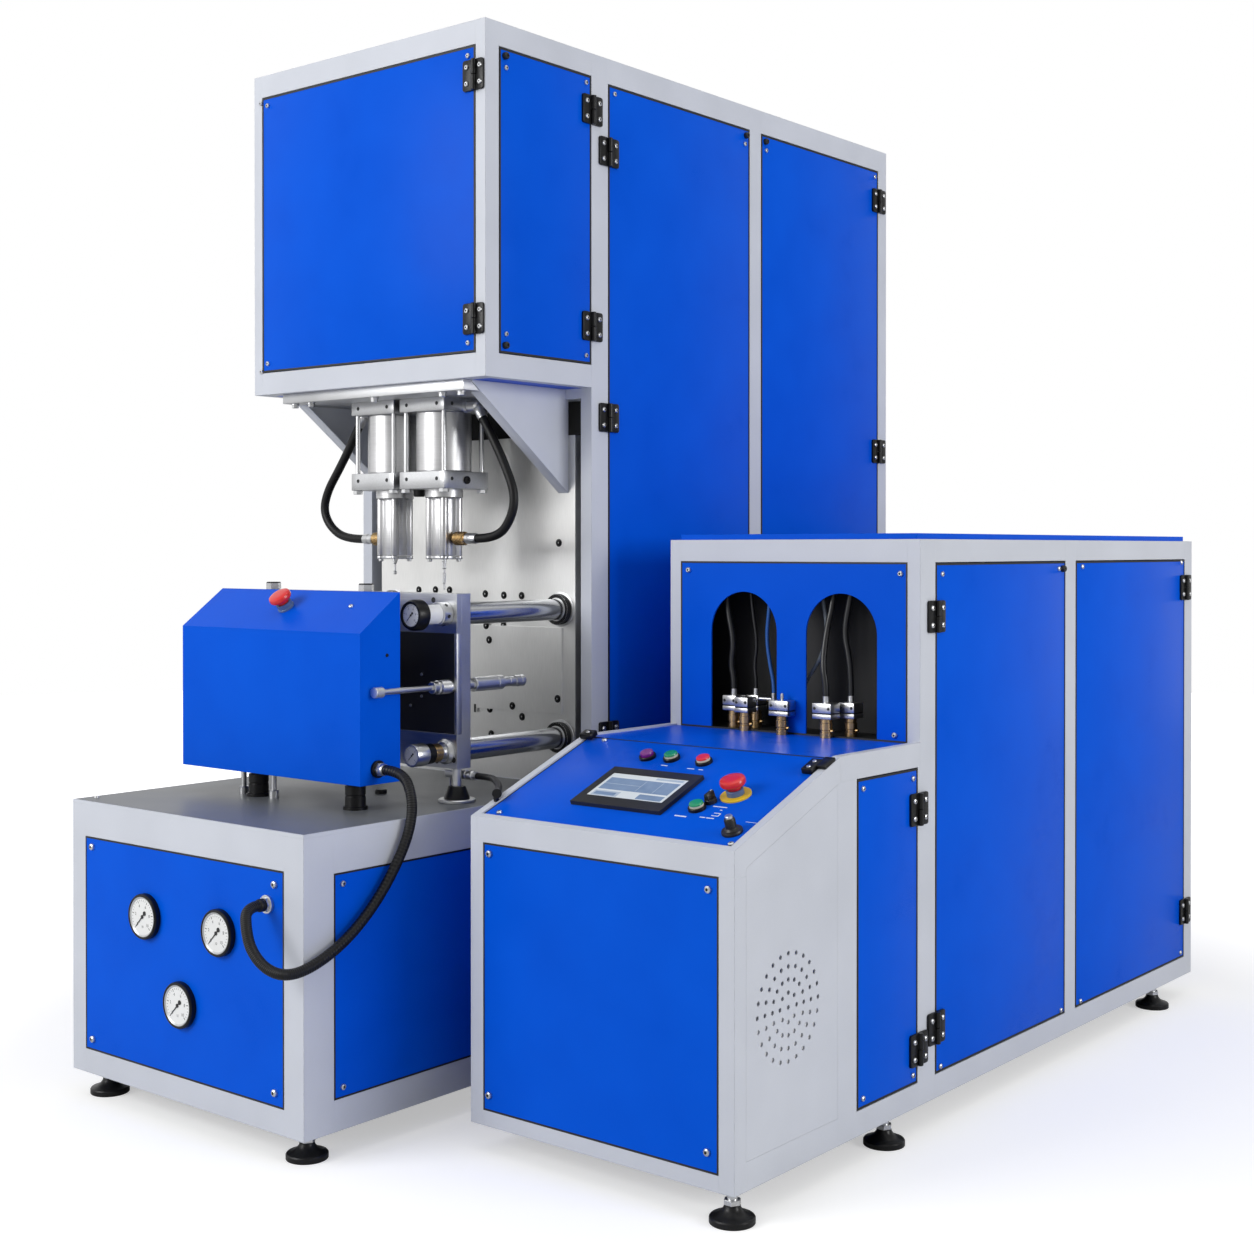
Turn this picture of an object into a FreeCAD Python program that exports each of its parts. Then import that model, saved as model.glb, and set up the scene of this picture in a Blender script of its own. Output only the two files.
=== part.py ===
"""Semi-automatic stretch blow moulding machine, in millimetres.

Two steel cabinets stand side by side on levelling feet. The left one carries the machine: a deck
with the mould clamp, a tower behind it and a head box above, from which two blow cylinders with
stretch rods hang. The right one holds the heater controls: a sloping console and a valve cabinet.
+X is to the machine's right, +Y from its front to its back, +Z up. The origin is on the floor,
under the centre of the machine's box. Lengths are millimetres and angles degrees.
"""
import FreeCAD
import Part
import Sketcher
import math
import os
import re

doc = FreeCAD.newDocument("blow_moulding_machine")
size_sheet = doc.addObject("Spreadsheet::Sheet", "Sizes")
place_sheet = doc.addObject("Spreadsheet::Sheet", "Places")
sheet_of = {}
nodes = []


# ---------------------------------------------------------------------------- drawing helpers
def full(formula):
    """The formula with each sheet name put before its aliases."""
    return re.sub(r"[a-z][a-z_0-9]*", lambda word: sheet_of.get(word[0], "") + word[0], str(formula))


def store(sheet, name, content):
    """Write one named cell."""
    row = len(sheet_of) + 1
    sheet.set(f"A{row}", name)
    sheet.set(f"B{row}", content)
    sheet.setAlias(f"B{row}", name)
    sheet_of[name] = sheet.Name + "."


def sizes(**values):
    """Driving dimensions: plain numbers."""
    for name, value in values.items():
        store(size_sheet, name, str(value))


def places(**formulas):
    """Positions that follow from the sizes."""
    for name, formula in formulas.items():
        store(place_sheet, name, "=" + full(formula))


def value_of(name):
    """The present value of a named cell, as a plain number."""
    sheet = {"Sizes.": size_sheet, "Places.": place_sheet}[sheet_of[name]]
    size_sheet.recompute()
    place_sheet.recompute()
    content = getattr(sheet, name)
    return float(getattr(content, "Value", content))


def bind(piece, **formulas):
    for name, formula in formulas.items():
        piece.setExpression(name, full(formula))


TURNS = {
    "z": (FreeCAD.Vector(0, 0, 1), 0),
    "x": (FreeCAD.Vector(0, 1, 0), 90),
    "-x": (FreeCAD.Vector(0, 1, 0), -90),
    "y": (FreeCAD.Vector(1, 0, 0), -90),
    "-y": (FreeCAD.Vector(1, 0, 0), 90),
}


def stand(piece, x, y, z, rotation):
    """Stand a piece at a point given by three formulas."""
    piece.Placement = FreeCAD.Placement(FreeCAD.Vector(), rotation)
    for axis, formula in zip("xyz", (x, y, z)):
        piece.setExpression(f"Placement.Base.{axis}", full(formula))
    return piece


def put(piece, x, y, z, facing="z"):
    """Stand a piece at a point, with its own +Z along the named direction."""
    return stand(piece, x, y, z, FreeCAD.Rotation(*TURNS[facing]))


def swing(piece, x, y, z, axis, angle):
    """Stand a piece at a point, turned about an axis by an angle's formula."""
    stand(piece, x, y, z, FreeCAD.Rotation(axis, 1))
    piece.setExpression("Placement.Rotation.Angle", full(angle))
    return piece


def block(x1, x2, y1, y2, z1, z2):
    """A box from its low to its high faces."""
    box = doc.addObject("Part::Box", "Block")
    bind(box, Length=f"({x2}) - ({x1})", Width=f"({y2}) - ({y1})", Height=f"({z2}) - ({z1})")
    return put(box, x1, y1, z1)


def rod(along, first, second, start, end, diameter):
    """A round bar along x, y or z; first and second are its other two coordinates."""
    bar = doc.addObject("Part::Cylinder", "Rod")
    bind(bar, Radius=f"({diameter}) / 2", Height=f"({end}) - ({start})")
    corner = {"x": (start, first, second), "y": (first, start, second), "z": (first, second, start)}
    return put(bar, *corner[along], facing=along)


def fuse(*pieces):
    union = doc.addObject("Part::MultiFuse", "Union")
    union.Shapes = list(pieces)
    return union


def cut(base, *tools):
    difference = doc.addObject("Part::Cut", "Difference")
    difference.Base = base
    difference.Tool = tools[0] if len(tools) == 1 else fuse(*tools)
    return difference


def sketch_on(body, role, points):
    """A closed sketch through points given as pairs of formulas, every point held by them."""
    sketch = body.newObject("Sketcher::SketchObject", "Outline")
    plane = [feature for feature in body.Origin.OriginFeatures if feature.Role == role][0]
    sketch.AttachmentSupport = (plane, [""])
    sketch.MapMode = "FlatFace"
    count = len(points)
    near = [(math.cos(2 * math.pi * i / count), math.sin(2 * math.pi * i / count)) for i in range(count)]
    for i in range(count):
        start = FreeCAD.Vector(*near[i], 0)
        end = FreeCAD.Vector(*near[(i + 1) % count], 0)
        sketch.addGeometry(Part.LineSegment(start, end), False)
    for i in range(count):
        sketch.addConstraint(Sketcher.Constraint("Coincident", i, 2, (i + 1) % count, 1))
    for i, point in enumerate(points):
        for kind, formula, guess in zip(("DistanceX", "DistanceY"), point, near[i]):
            held = sketch.addConstraint(Sketcher.Constraint(kind, -1, 1, i, 1, guess))
            sketch.setExpression(f"Constraints[{held}]", full(formula))
    return sketch


def pad(along, start, end, points):
    """A plate of any outline: points are (y, z) along x, (x, z) along y and (x, y) along z."""
    body = doc.addObject("PartDesign::Body", "Plate")
    role = {"x": "YZ_Plane", "y": "XZ_Plane", "z": "XY_Plane"}[along]
    outline = sketch_on(body, role, points)
    extrusion = body.newObject("PartDesign::Pad", "Pad")
    extrusion.Profile = outline
    extrusion.Reversed = along == "y"
    bind(extrusion, Length=f"({end}) - ({start})")
    base = {"x": (start, "0", "0"), "y": ("0", start, "0"), "z": ("0", "0", start)}[along]
    return put(body, *base)


def turned(profile):
    """A turned piece about its own Z axis; profile is (radius, height) pairs of formulas."""
    body = doc.addObject("PartDesign::Body", "Turned")
    outline = sketch_on(body, "XZ_Plane", profile)
    revolution = body.newObject("PartDesign::Revolution", "Revolution")
    revolution.Profile = outline
    revolution.ReferenceAxis = (outline, ["V_Axis"])
    revolution.Angle = 360
    return body


def ring(inner, outer, height, facing, x, y, z):
    """A flat ring; inner and outer are diameters."""
    profile = (
        (f"({inner}) / 2", "0"),
        (f"({outer}) / 2", "0"),
        (f"({outer}) / 2", height),
        (f"({inner}) / 2", height),
    )
    return put(turned(profile), x, y, z, facing)


def slope_point(slope, across, up, lift):
    """The place of a point on a sloping face, as three formulas."""
    left, front, foot, angle = slope
    return (
        f"{left} + {across}",
        f"{front} + ({up}) * cos({angle}) - ({lift}) * sin({angle})",
        f"{foot} + ({up}) * sin({angle}) + ({lift}) * cos({angle})",
    )


def on_slope(slope, piece, across, up, lift="0"):
    """Seat a piece on a sloping face, with its own +Z off the face."""
    return swing(piece, *slope_point(slope, across, up, lift), FreeCAD.Vector(1, 0, 0), slope[3])


def slope_ring(slope, across, up, inner, outer, height):
    """A collar on a sloping face; inner and outer are diameters."""
    return on_slope(slope, ring(inner, outer, height, "z", "0", "0", "0"), across, up)


def node(label, *pieces):
    """Name a finished sub-part; several solids are kept together as one."""
    piece = pieces[0]
    if len(pieces) > 1:
        piece = doc.addObject("Part::Compound", "Group")
        piece.Links = list(pieces)
    piece.Label = label
    nodes.append(piece)
    return piece


def rounded_path(label, corners):
    """Straight runs through the corners, each joined to the next by the largest fair arc."""
    points = [FreeCAD.Vector(*corner) for corner in corners]
    edges = []
    radii = []
    here = points[0]
    for before, corner, after in zip(points, points[1:], points[2:]):
        back = before - corner
        ahead = after - corner
        reach = 0.45 * min(back.Length, ahead.Length)
        turn = math.pi - back.getAngle(ahead)
        radius = reach / math.tan(turn / 2)
        back.normalize()
        ahead.normalize()
        inward = back + ahead
        inward.normalize()
        arc_start = corner + back * reach
        arc_end = corner + ahead * reach
        arc_middle = corner + inward * (radius / math.cos(turn / 2) - radius)
        edges.append(Part.LineSegment(here, arc_start).toShape())
        edges.append(Part.Arc(arc_start, arc_middle, arc_end).toShape())
        here = arc_end
        radii.append(round(radius))
    edges.append(Part.LineSegment(here, points[-1]).toShape())
    print(label, "bend radii", radii)
    return Part.Wire(edges)


def tube(label, diameter, corners):
    """A round hose, cable or pipe along its route."""
    path = rounded_path(label, corners)
    start = FreeCAD.Vector(*corners[0])
    heading = FreeCAD.Vector(*corners[1]) - start
    section = Part.Wire(Part.Circle(start, heading, value_of(diameter) / 2).toShape())
    solid = path.makePipeShell([section], True, False)
    expected = math.pi * (value_of(diameter) / 2) ** 2 * path.Length
    print(label, f"length {path.Length:.0f}, volume over section times length {solid.Volume / expected:.4f}")
    feature = doc.addObject("Part::Feature", "Tube")
    feature.Shape = solid
    return feature


# ---------------------------------------------------------------------------- overall layout
sizes(
    foot_height=45,
    base_width=625,
    base_nose=692,
    base_height=480,
    tower_depth=1061,
    tower_height=1367,
    head_depth=284,
    head_height=621,
    aisle=130,
    cabinet_width=523,
    cabinet_depth=1184,
    cabinet_height=942,
    console_lead=454,
    console_run=282,
    console_eave_height=495,
    console_rise=109,
    ledge_depth=245,
    panel_sheet=3,
    running_gap=0.3,
)
places(
    tower_left="-(base_width + aisle + cabinet_width) / 2",
    tower_right="tower_left + base_width",
    tower_middle="tower_left + base_width / 2",
    cabinet_left="tower_right + aisle",
    cabinet_right="cabinet_left + cabinet_width",
    machine_length="base_nose - console_lead + console_run + ledge_depth + cabinet_depth",
    base_front="-machine_length / 2",
    tower_front="base_front + base_nose",
    tower_rear="tower_front + tower_depth",
    head_front="tower_front - head_depth",
    console_front="tower_front - console_lead",
    console_break="console_front + console_run",
    cabinet_front="console_break + ledge_depth",
    cabinet_rear="cabinet_front + cabinet_depth",
    deck="foot_height + base_height",
    tower_top="deck + tower_height",
    head_bottom="tower_top - head_height",
    cabinet_top="foot_height + cabinet_height",
    console_eave="foot_height + console_eave_height",
    console_ridge="console_eave + console_rise",
    lid_angle="atan(console_rise / console_run)",
)

# ---------------------------------------------------------------------------- base of the machine
# A welded box of rectangular tube under a steel deck, closed by sheets between the tubes.
sizes(
    base_tube=40,
    base_stile_left=39,
    base_stile_right=47,
    base_stile_depth=62,
    base_middle_post=44,
    base_rear_post=36,
    base_sill=42,
    base_header=56,
    base_side_sill=51,
    base_side_header=63,
    deck_plate=6,
)
places(
    deck_under="deck - deck_plate",
    base_post_back="base_front + base_stile_depth",
    base_middle_front="tower_front - base_middle_post / 2",
    base_middle_back="tower_front + base_middle_post / 2",
    base_rear_inside="tower_rear - base_rear_post",
    base_inside_left="tower_left + base_tube",
    base_inside_right="tower_right - base_tube",
    base_panel_left="tower_left + base_stile_left",
    base_panel_right="tower_right - base_stile_right",
)
base_walls = (("tower_left", "base_inside_left"), ("base_inside_right", "tower_right"))
base_bays = (("base_post_back", "base_middle_front"), ("base_middle_back", "base_rear_inside"))
frame = [
    block("tower_left", "tower_right", "base_front", "tower_rear", "deck_under", "deck"),
    block("tower_left", "base_panel_left", "base_front", "base_post_back", "foot_height", "deck_under"),
    block("base_panel_right", "tower_right", "base_front", "base_post_back", "foot_height", "deck_under"),
]
for y1, y2 in (("base_front", "base_front + base_tube"), ("base_rear_inside", "tower_rear")):
    x1, x2 = ("base_inside_left", "base_inside_right")
    if y1 == "base_front":
        x1, x2 = ("base_panel_left", "base_panel_right")
    frame.append(block(x1, x2, y1, y2, "foot_height", "foot_height + base_sill"))
    frame.append(block(x1, x2, y1, y2, "deck_under - base_header", "deck_under"))
frame.append(
    block(
        "base_inside_left",
        "base_inside_right",
        "base_middle_front",
        "base_middle_back",
        "deck_under - base_header",
        "deck_under",
    )
)
for x1, x2 in base_walls:
    frame.append(block(x1, x2, "base_middle_front", "base_middle_back", "foot_height", "deck_under"))
    frame.append(block(x1, x2, "base_rear_inside", "tower_rear", "foot_height", "deck_under"))
    for y1, y2 in base_bays:
        frame.append(block(x1, x2, y1, y2, "foot_height", "foot_height + base_side_sill"))
        frame.append(block(x1, x2, y1, y2, "deck_under - base_side_header", "deck_under"))
node("base_frame", *frame)

sheets = [
    block(
        "base_panel_left",
        "base_panel_right",
        "base_front",
        "base_front + panel_sheet",
        "foot_height + base_sill",
        "deck_under - base_header",
    ),
    block(
        "base_inside_left",
        "base_inside_right",
        "tower_rear - panel_sheet",
        "tower_rear",
        "foot_height + base_sill",
        "deck_under - base_header",
    ),
]
for x1, x2 in (("tower_left", "tower_left + panel_sheet"), ("tower_right - panel_sheet", "tower_right")):
    for y1, y2 in base_bays:
        low, high = "foot_height + base_side_sill", "deck_under - base_side_header"
        sheets.append(block(x1, x2, y1, y2, low, high))
node("base_panels", *sheets)

# ---------------------------------------------------------------------------- tower frame
# Posts and rails on the deck; the two bays on each side are 462 and 474 mm long.
sizes(
    tower_post=26,
    tower_post_depth=48,
    tower_bay=462,
    tower_middle_post=41,
    tower_rear_post=36,
    tower_header=47,
    tower_sill=40,
    head_beam_below=19,
    head_beam_above=21,
)
places(
    tower_bay_front="tower_front + tower_post_depth",
    tower_middle_front="tower_bay_front + tower_bay",
    tower_middle_back="tower_middle_front + tower_middle_post",
    tower_bay_back="tower_rear - tower_rear_post",
    tower_inside_left="tower_left + tower_post",
    tower_inside_right="tower_right - tower_post",
    tower_door_low="deck + tower_sill",
    tower_door_high="tower_top - tower_header",
    head_beam_under="head_bottom - head_beam_below",
)
tower_walls = (("tower_left", "tower_inside_left"), ("tower_inside_right", "tower_right"))
tower_bays = (("tower_bay_front", "tower_middle_front"), ("tower_middle_back", "tower_bay_back"))
frame = [
    block(
        "tower_inside_left",
        "tower_inside_right",
        "tower_front",
        "tower_bay_front",
        "head_beam_under",
        "head_bottom + head_beam_above",
    )
]
for x1, x2 in tower_walls:
    frame.append(block(x1, x2, "tower_front", "tower_bay_front", "deck", "tower_top"))
    frame.append(block(x1, x2, "tower_middle_front", "tower_middle_back", "deck", "tower_top"))
    frame.append(block(x1, x2, "tower_bay_back", "tower_rear", "deck", "tower_top"))
    for y1, y2 in tower_bays:
        frame.append(block(x1, x2, y1, y2, "deck", "tower_door_low"))
        frame.append(block(x1, x2, y1, y2, "tower_door_high", "tower_top"))
for y1, y2 in (("tower_front", "tower_bay_front"), ("tower_bay_back", "tower_rear")):
    frame.append(block("tower_inside_left", "tower_inside_right", y1, y2, "tower_door_high", "tower_top"))
frame.append(
    block("tower_inside_left", "tower_inside_right", "tower_bay_back", "tower_rear", "deck", "tower_door_low")
)
node("tower_frame", *frame)

# ---------------------------------------------------------------------------- head box frame
# A smaller box hung on the tower's front, with doors in its front and its right side.
sizes(head_post=23, head_post_depth=34, head_rail=42)
places(
    head_inside_left="tower_left + head_post",
    head_inside_right="tower_right - head_post",
    head_post_back="head_front + head_post_depth",
    head_door_low="head_bottom + head_rail",
    head_door_high="tower_top - head_rail",
)
head_walls = (("tower_left", "head_inside_left"), ("head_inside_right", "tower_right"))
head_rails = (("head_bottom", "head_door_low"), ("head_door_high", "tower_top"))
frame = []
for x1, x2 in head_walls:
    frame.append(block(x1, x2, "head_front", "head_post_back", "head_bottom", "tower_top"))
    for z1, z2 in head_rails:
        frame.append(block(x1, x2, "head_post_back", "tower_front", z1, z2))
for z1, z2 in head_rails:
    frame.append(block("head_inside_left", "head_inside_right", "head_front", "head_post_back", z1, z2))
node("head_frame", *frame)

# ---------------------------------------------------------------------------- fixed tower sheets
# Left side, back and roof of the tower and the head, the head's floor, and the dark bulkhead
# behind the clamp, which the tie bars pass through.
sizes(
    bar_spread=457,
    bar_diameter=40,
    upper_bar_height=331,
    lower_bar_height=88.5,
    bar_clearance=3,
)
places(
    left_bar="tower_middle - bar_spread / 2",
    right_bar="tower_middle + bar_spread / 2",
    upper_bar="deck + upper_bar_height",
    lower_bar="deck + lower_bar_height",
    bulkhead_front="tower_bay_front - panel_sheet",
)
bars = [(x, z) for z in ("upper_bar", "lower_bar") for x in ("left_bar", "right_bar")]
bulkhead = block(
    "tower_inside_left", "tower_inside_right", "bulkhead_front", "tower_bay_front", "deck", "head_beam_under"
)
bar_holes = [
    rod("y", x, z, "bulkhead_front - 1", "tower_bay_front + 1", "bar_diameter + 2 * bar_clearance")
    for x, z in bars
]
sheets = [
    cut(bulkhead, *bar_holes),
    block(
        "tower_inside_left",
        "tower_inside_right",
        "tower_rear - panel_sheet",
        "tower_rear",
        "tower_door_low",
        "tower_door_high",
    ),
    block(
        "tower_inside_left",
        "tower_inside_right",
        "tower_bay_front",
        "tower_bay_back",
        "tower_top - panel_sheet",
        "tower_top",
    ),
    block(
        "tower_left",
        "tower_left + panel_sheet",
        "head_post_back",
        "tower_front",
        "head_door_low",
        "head_door_high",
    ),
    block(
        "head_inside_left",
        "head_inside_right",
        "head_post_back",
        "tower_front",
        "tower_top - panel_sheet",
        "tower_top",
    ),
    block(
        "head_inside_left",
        "head_inside_right",
        "head_post_back",
        "tower_front",
        "head_bottom",
        "head_bottom + panel_sheet",
    ),
]
for y1, y2 in tower_bays:
    left_sheet = ("tower_left", "tower_left + panel_sheet")
    sheets.append(block(*left_sheet, y1, y2, "tower_door_low", "tower_door_high"))
node("tower_panels", *sheets)

# ---------------------------------------------------------------------------- clamp back plate
# A thick stainless plate on the deck, with a thinner mould plate on it and four flanged bushings.
sizes(
    plate_margin=37,
    plate_height=660,
    plate_thick=20,
    plate_setback=8,
    mould_plate_margin=6,
    mould_plate_low=132,
    mould_plate_high=296,
    mould_plate_thick=4,
    bushing_flange=57,
    bushing_flange_thick=13,
    bushing_sleeve=50,
    bushing_tail=10,
)
places(
    plate_front="tower_front + plate_setback",
    plate_back="plate_front + plate_thick",
    bushing_back="plate_back + bushing_tail",
)
plate = block(
    "left_bar - plate_margin",
    "right_bar + plate_margin",
    "plate_front",
    "plate_back",
    "deck",
    "deck + plate_height",
)
sleeve_holes = [
    rod("y", x, z, "plate_front - 1", "plate_back + 1", "bushing_sleeve + 2 * running_gap") for x, z in bars
]
mould_plate = block(
    "left_bar - mould_plate_margin",
    "right_bar + mould_plate_margin",
    "plate_front - mould_plate_thick",
    "plate_front",
    "deck + mould_plate_low",
    "deck + mould_plate_high",
)
bushings = []
for x, z in bars:
    bore_front = "plate_front - 2 * bushing_flange_thick"
    bore = rod("y", x, z, bore_front, "bushing_back + 1", "bar_diameter + 2 * running_gap")
    flange = rod("y", x, z, "plate_front - bushing_flange_thick", "plate_front", "bushing_flange")
    sleeve = rod("y", x, z, "plate_front", "bushing_back", "bushing_sleeve")
    bushings.append(cut(fuse(flange, sleeve), bore))
node("clamp_back_plate", cut(plate, *sleeve_holes), mould_plate, *bushings)

# ---------------------------------------------------------------------------- cylinder bracket
# The plate that the blow cylinders hang from, and the two gussets that carry it off the back plate.
sizes(
    mount_plate_width=491,
    mount_plate_depth=270,
    mount_plate_thick=19,
    gusset_sheet=3,
    gusset_reach=251,
    gusset_drop=195,
    gusset_flange=22,
)
places(
    mount_plate_left="tower_middle - mount_plate_width / 2",
    mount_plate_right="tower_middle + mount_plate_width / 2",
    mount_plate_under="head_bottom - mount_plate_thick",
    gusset_front="tower_front - gusset_reach",
    gusset_top="head_bottom - gusset_sheet",
    gusset_low="head_bottom - gusset_drop",
    gusset_slope="(gusset_top - gusset_low) / (plate_front - gusset_front)",
    flange_front="gusset_front + (gusset_top - mount_plate_under) / gusset_slope",
)
bracket = [
    block(
        "mount_plate_left",
        "mount_plate_right",
        "tower_front - mount_plate_depth",
        "tower_front",
        "mount_plate_under",
        "head_bottom",
    )
]
web_outline = (
    ("gusset_front", "head_bottom"),
    ("gusset_front", "gusset_top"),
    ("plate_front", "gusset_low"),
    ("plate_front", "head_beam_under"),
    ("tower_front", "head_beam_under"),
    ("tower_front", "head_bottom"),
)
flange_outline = (
    ("flange_front", "mount_plate_under"),
    ("plate_front", "gusset_low"),
    ("plate_front", "gusset_low + gusset_sheet"),
    ("flange_front + gusset_sheet / gusset_slope", "mount_plate_under"),
)
for web, flange in (
    (
        ("mount_plate_left - gusset_sheet", "mount_plate_left"),
        ("mount_plate_left", "mount_plate_left + gusset_flange"),
    ),
    (
        ("mount_plate_right", "mount_plate_right + gusset_sheet"),
        ("mount_plate_right - gusset_flange", "mount_plate_right"),
    ),
):
    bracket.append(pad("x", *web, web_outline))
    bracket.append(pad("x", *flange, flange_outline))
node("cylinder_bracket", *bracket)

# ---------------------------------------------------------------------------- blow cylinders
# Two air cylinders hang under the mount plate: head block, barrel, foot block, collar and a
# square nozzle cylinder. A stretch rod runs down through each from a piston in the barrel.
sizes(
    cylinder_gap=16,
    cylinder_lead=141,
    cylinder_block=118,
    head_block_height=25,
    barrel_height=112,
    barrel_diameter=104,
    barrel_bore=80,
    foot_block_height=32,
    tie_rod_inset=9,
    tie_rod_diameter=9,
    collar_diameter=72,
    collar_height=16,
    nozzle_width=53,
    nozzle_height=116,
    stretch_rod_diameter=8,
    piston_height=16,
    left_rod_below=30,
    right_rod_below=57,
)
places(
    cylinder_line="tower_front - cylinder_lead",
    barrel_top="mount_plate_under - head_block_height",
    barrel_foot="barrel_top - barrel_height",
    collar_top="barrel_foot - foot_block_height",
    nozzle_top="collar_top - collar_height",
    nozzle_foot="nozzle_top - nozzle_height",
    left_cylinder="tower_middle - (cylinder_block + cylinder_gap) / 2",
    right_cylinder="tower_middle + (cylinder_block + cylinder_gap) / 2",
    tie_rod_reach="cylinder_block / 2 - tie_rod_inset",
)


def square_block(x, y, width, low, high):
    """A block centred on a vertical line."""
    half = f"({width}) / 2"
    return block(f"{x} - {half}", f"{x} + {half}", f"{y} - {half}", f"{y} + {half}", low, high)


for side, x, below in (
    ("left", "left_cylinder", "left_rod_below"),
    ("right", "right_cylinder", "right_rod_below"),
):
    rod_hole = "stretch_rod_diameter + 2 * running_gap"
    foot_block = square_block(x, "cylinder_line", "cylinder_block", "collar_top", "barrel_foot")
    foot_hole = rod("z", x, "cylinder_line", "collar_top - 1", "barrel_foot + 1", rod_hole)
    collar = rod("z", x, "cylinder_line", "nozzle_top", "collar_top", "collar_diameter")
    collar_hole = rod("z", x, "cylinder_line", "nozzle_top - 1", "collar_top + 1", rod_hole)
    nozzle = square_block(x, "cylinder_line", "nozzle_width", "nozzle_foot", "nozzle_top")
    nozzle_hole = rod("z", x, "cylinder_line", "nozzle_foot - 1", "nozzle_top + 1", rod_hole)
    stack = [
        square_block(x, "cylinder_line", "cylinder_block", "barrel_top", "mount_plate_under"),
        ring("barrel_bore", "barrel_diameter", "barrel_height", "z", x, "cylinder_line", "barrel_foot"),
        cut(foot_block, foot_hole),
        cut(collar, collar_hole),
        cut(nozzle, nozzle_hole),
    ]
    for across in ("-", "+"):
        for along in ("-", "+"):
            corner = (f"{x} {across} tie_rod_reach", f"cylinder_line {along} tie_rod_reach")
            stack.append(rod("z", *corner, "barrel_foot", "barrel_top", "tie_rod_diameter"))
    node(f"blow_cylinder_{side}", *stack)
    profile = (
        ("0", f"nozzle_foot - {below}"),
        ("stretch_rod_diameter / 2", f"nozzle_foot - {below}"),
        ("stretch_rod_diameter / 2", "barrel_top - piston_height - running_gap"),
        ("barrel_bore / 2 - running_gap", "barrel_top - piston_height - running_gap"),
        ("barrel_bore / 2 - running_gap", "barrel_top - running_gap"),
        ("0", "barrel_top - running_gap"),
    )
    node(f"stretch_rod_{side}", put(turned(profile), x, "cylinder_line", "0"))

# ---------------------------------------------------------------------------- air hoses
# Each hose drops from an elbow in the head block's side to a fitting in the nozzle cylinder.
sizes(
    air_hose=16.7,
    elbow_diameter=20,
    elbow_reach=27,
    elbow_height=16,
    ferrule_diameter=19,
    ferrule_length=28,
    ferrule_tilt=34,
    nozzle_port_height=39,
    nozzle_port_reach=60,
    nozzle_port_diameter=19,
    nozzle_nut_length=22,
    nozzle_nut_diameter=26,
)
places(
    elbow_line="mount_plate_under - elbow_height",
    elbow_out="cylinder_block / 2 + elbow_reach",
    nozzle_port="nozzle_foot + nozzle_port_height",
)
hose_ends = []
for x, sign, facing, tilt in (
    ("left_cylinder", "-", "-x", "180 + ferrule_tilt"),
    ("right_cylinder", "+", "x", "180 - ferrule_tilt"),
):
    ball = doc.addObject("Part::Sphere", "Ball")
    bind(ball, Radius="elbow_diameter / 2")
    put(ball, f"{x} {sign} elbow_out", "cylinder_line", "elbow_line")
    neck = doc.addObject("Part::Cylinder", "Neck")
    bind(neck, Radius="elbow_diameter / 2", Height="elbow_reach")
    put(neck, f"{x} {sign} cylinder_block / 2", "cylinder_line", "elbow_line", facing)
    ferrule = doc.addObject("Part::Cylinder", "Ferrule")
    bind(ferrule, Radius="ferrule_diameter / 2", Height="ferrule_length")
    swing(ferrule, f"{x} {sign} elbow_out", "cylinder_line", "elbow_line", FreeCAD.Vector(0, 1, 0), tilt)
    hose_ends.append(fuse(ball, neck, ferrule))
    port_profile = (
        ("0", "0"),
        ("nozzle_nut_diameter / 2", "0"),
        ("nozzle_nut_diameter / 2", "nozzle_nut_length"),
        ("nozzle_port_diameter / 2", "nozzle_nut_length"),
        ("nozzle_port_diameter / 2", "nozzle_port_reach"),
        ("0", "nozzle_port_reach"),
    )
    hose_ends.append(
        put(turned(port_profile), f"{x} {sign} nozzle_width / 2", "cylinder_line", "nozzle_port", facing)
    )
node("hose_fittings", *hose_ends)
node(
    "cylinder_hose_right",
    tube(
        "cylinder_hose_right",
        "air_hose",
        [
            (-157.84, -423.5, 1212.79),
            (-128.7, -423.5, 1169.6),
            (-101, -423.5, 1122),
            (-77, -423.5, 1072),
            (-84, -423.5, 1029),
            (-120, -423.5, 990),
            (-173, -423.5, 990),
        ],
    ),
)
node(
    "cylinder_hose_left",
    tube(
        "cylinder_hose_left",
        "air_hose",
        [
            (-495.16, -423.5, 1212.79),
            (-525.4, -423.5, 1168),
            (-556.4, -423.5, 1127),
            (-589, -423.5, 1087),
            (-602, -423.5, 1048),
            (-580, -423.5, 1013),
            (-534, -423.5, 990),
            (-480, -423.5, 990),
        ],
    ),
)

# ---------------------------------------------------------------------------- mould clamp platen
# The moving platen: a thick plate with two steel strips across its front and, between them, the
# black plate that the piston pushes. It slides back on four tie bars towards the back plate.
sizes(
    platen_lead=264,
    platen_margin=28,
    platen_low=59,
    platen_height=308,
    platen_thick=22,
    platen_skin=12,
    platen_strip_low=61,
    platen_strip_high=70,
    piston_diameter=60,
    bar_length=414,
)
places(
    platen_back="tower_front - platen_lead",
    platen_step="platen_back - platen_thick",
    platen_front="platen_step - platen_skin",
    platen_left="left_bar - platen_margin",
    platen_right="right_bar + platen_margin",
    platen_foot="deck + platen_low",
    platen_top="platen_foot + platen_height",
    strip_low_top="platen_foot + platen_strip_low",
    strip_high_foot="platen_top - platen_strip_high",
    piston_line="platen_foot + platen_height / 2",
)
node(
    "clamp_platen",
    block("platen_left", "platen_right", "platen_step", "platen_back", "platen_foot", "platen_top"),
    block("platen_left", "platen_right", "platen_front", "platen_step", "platen_foot", "strip_low_top"),
    block("platen_left", "platen_right", "platen_front", "platen_step", "strip_high_foot", "platen_top"),
)
bar_back = "platen_back + bar_length"
node("tie_bars", *[rod("y", x, z, "platen_back", bar_back, "bar_diameter") for x, z in bars])

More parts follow.
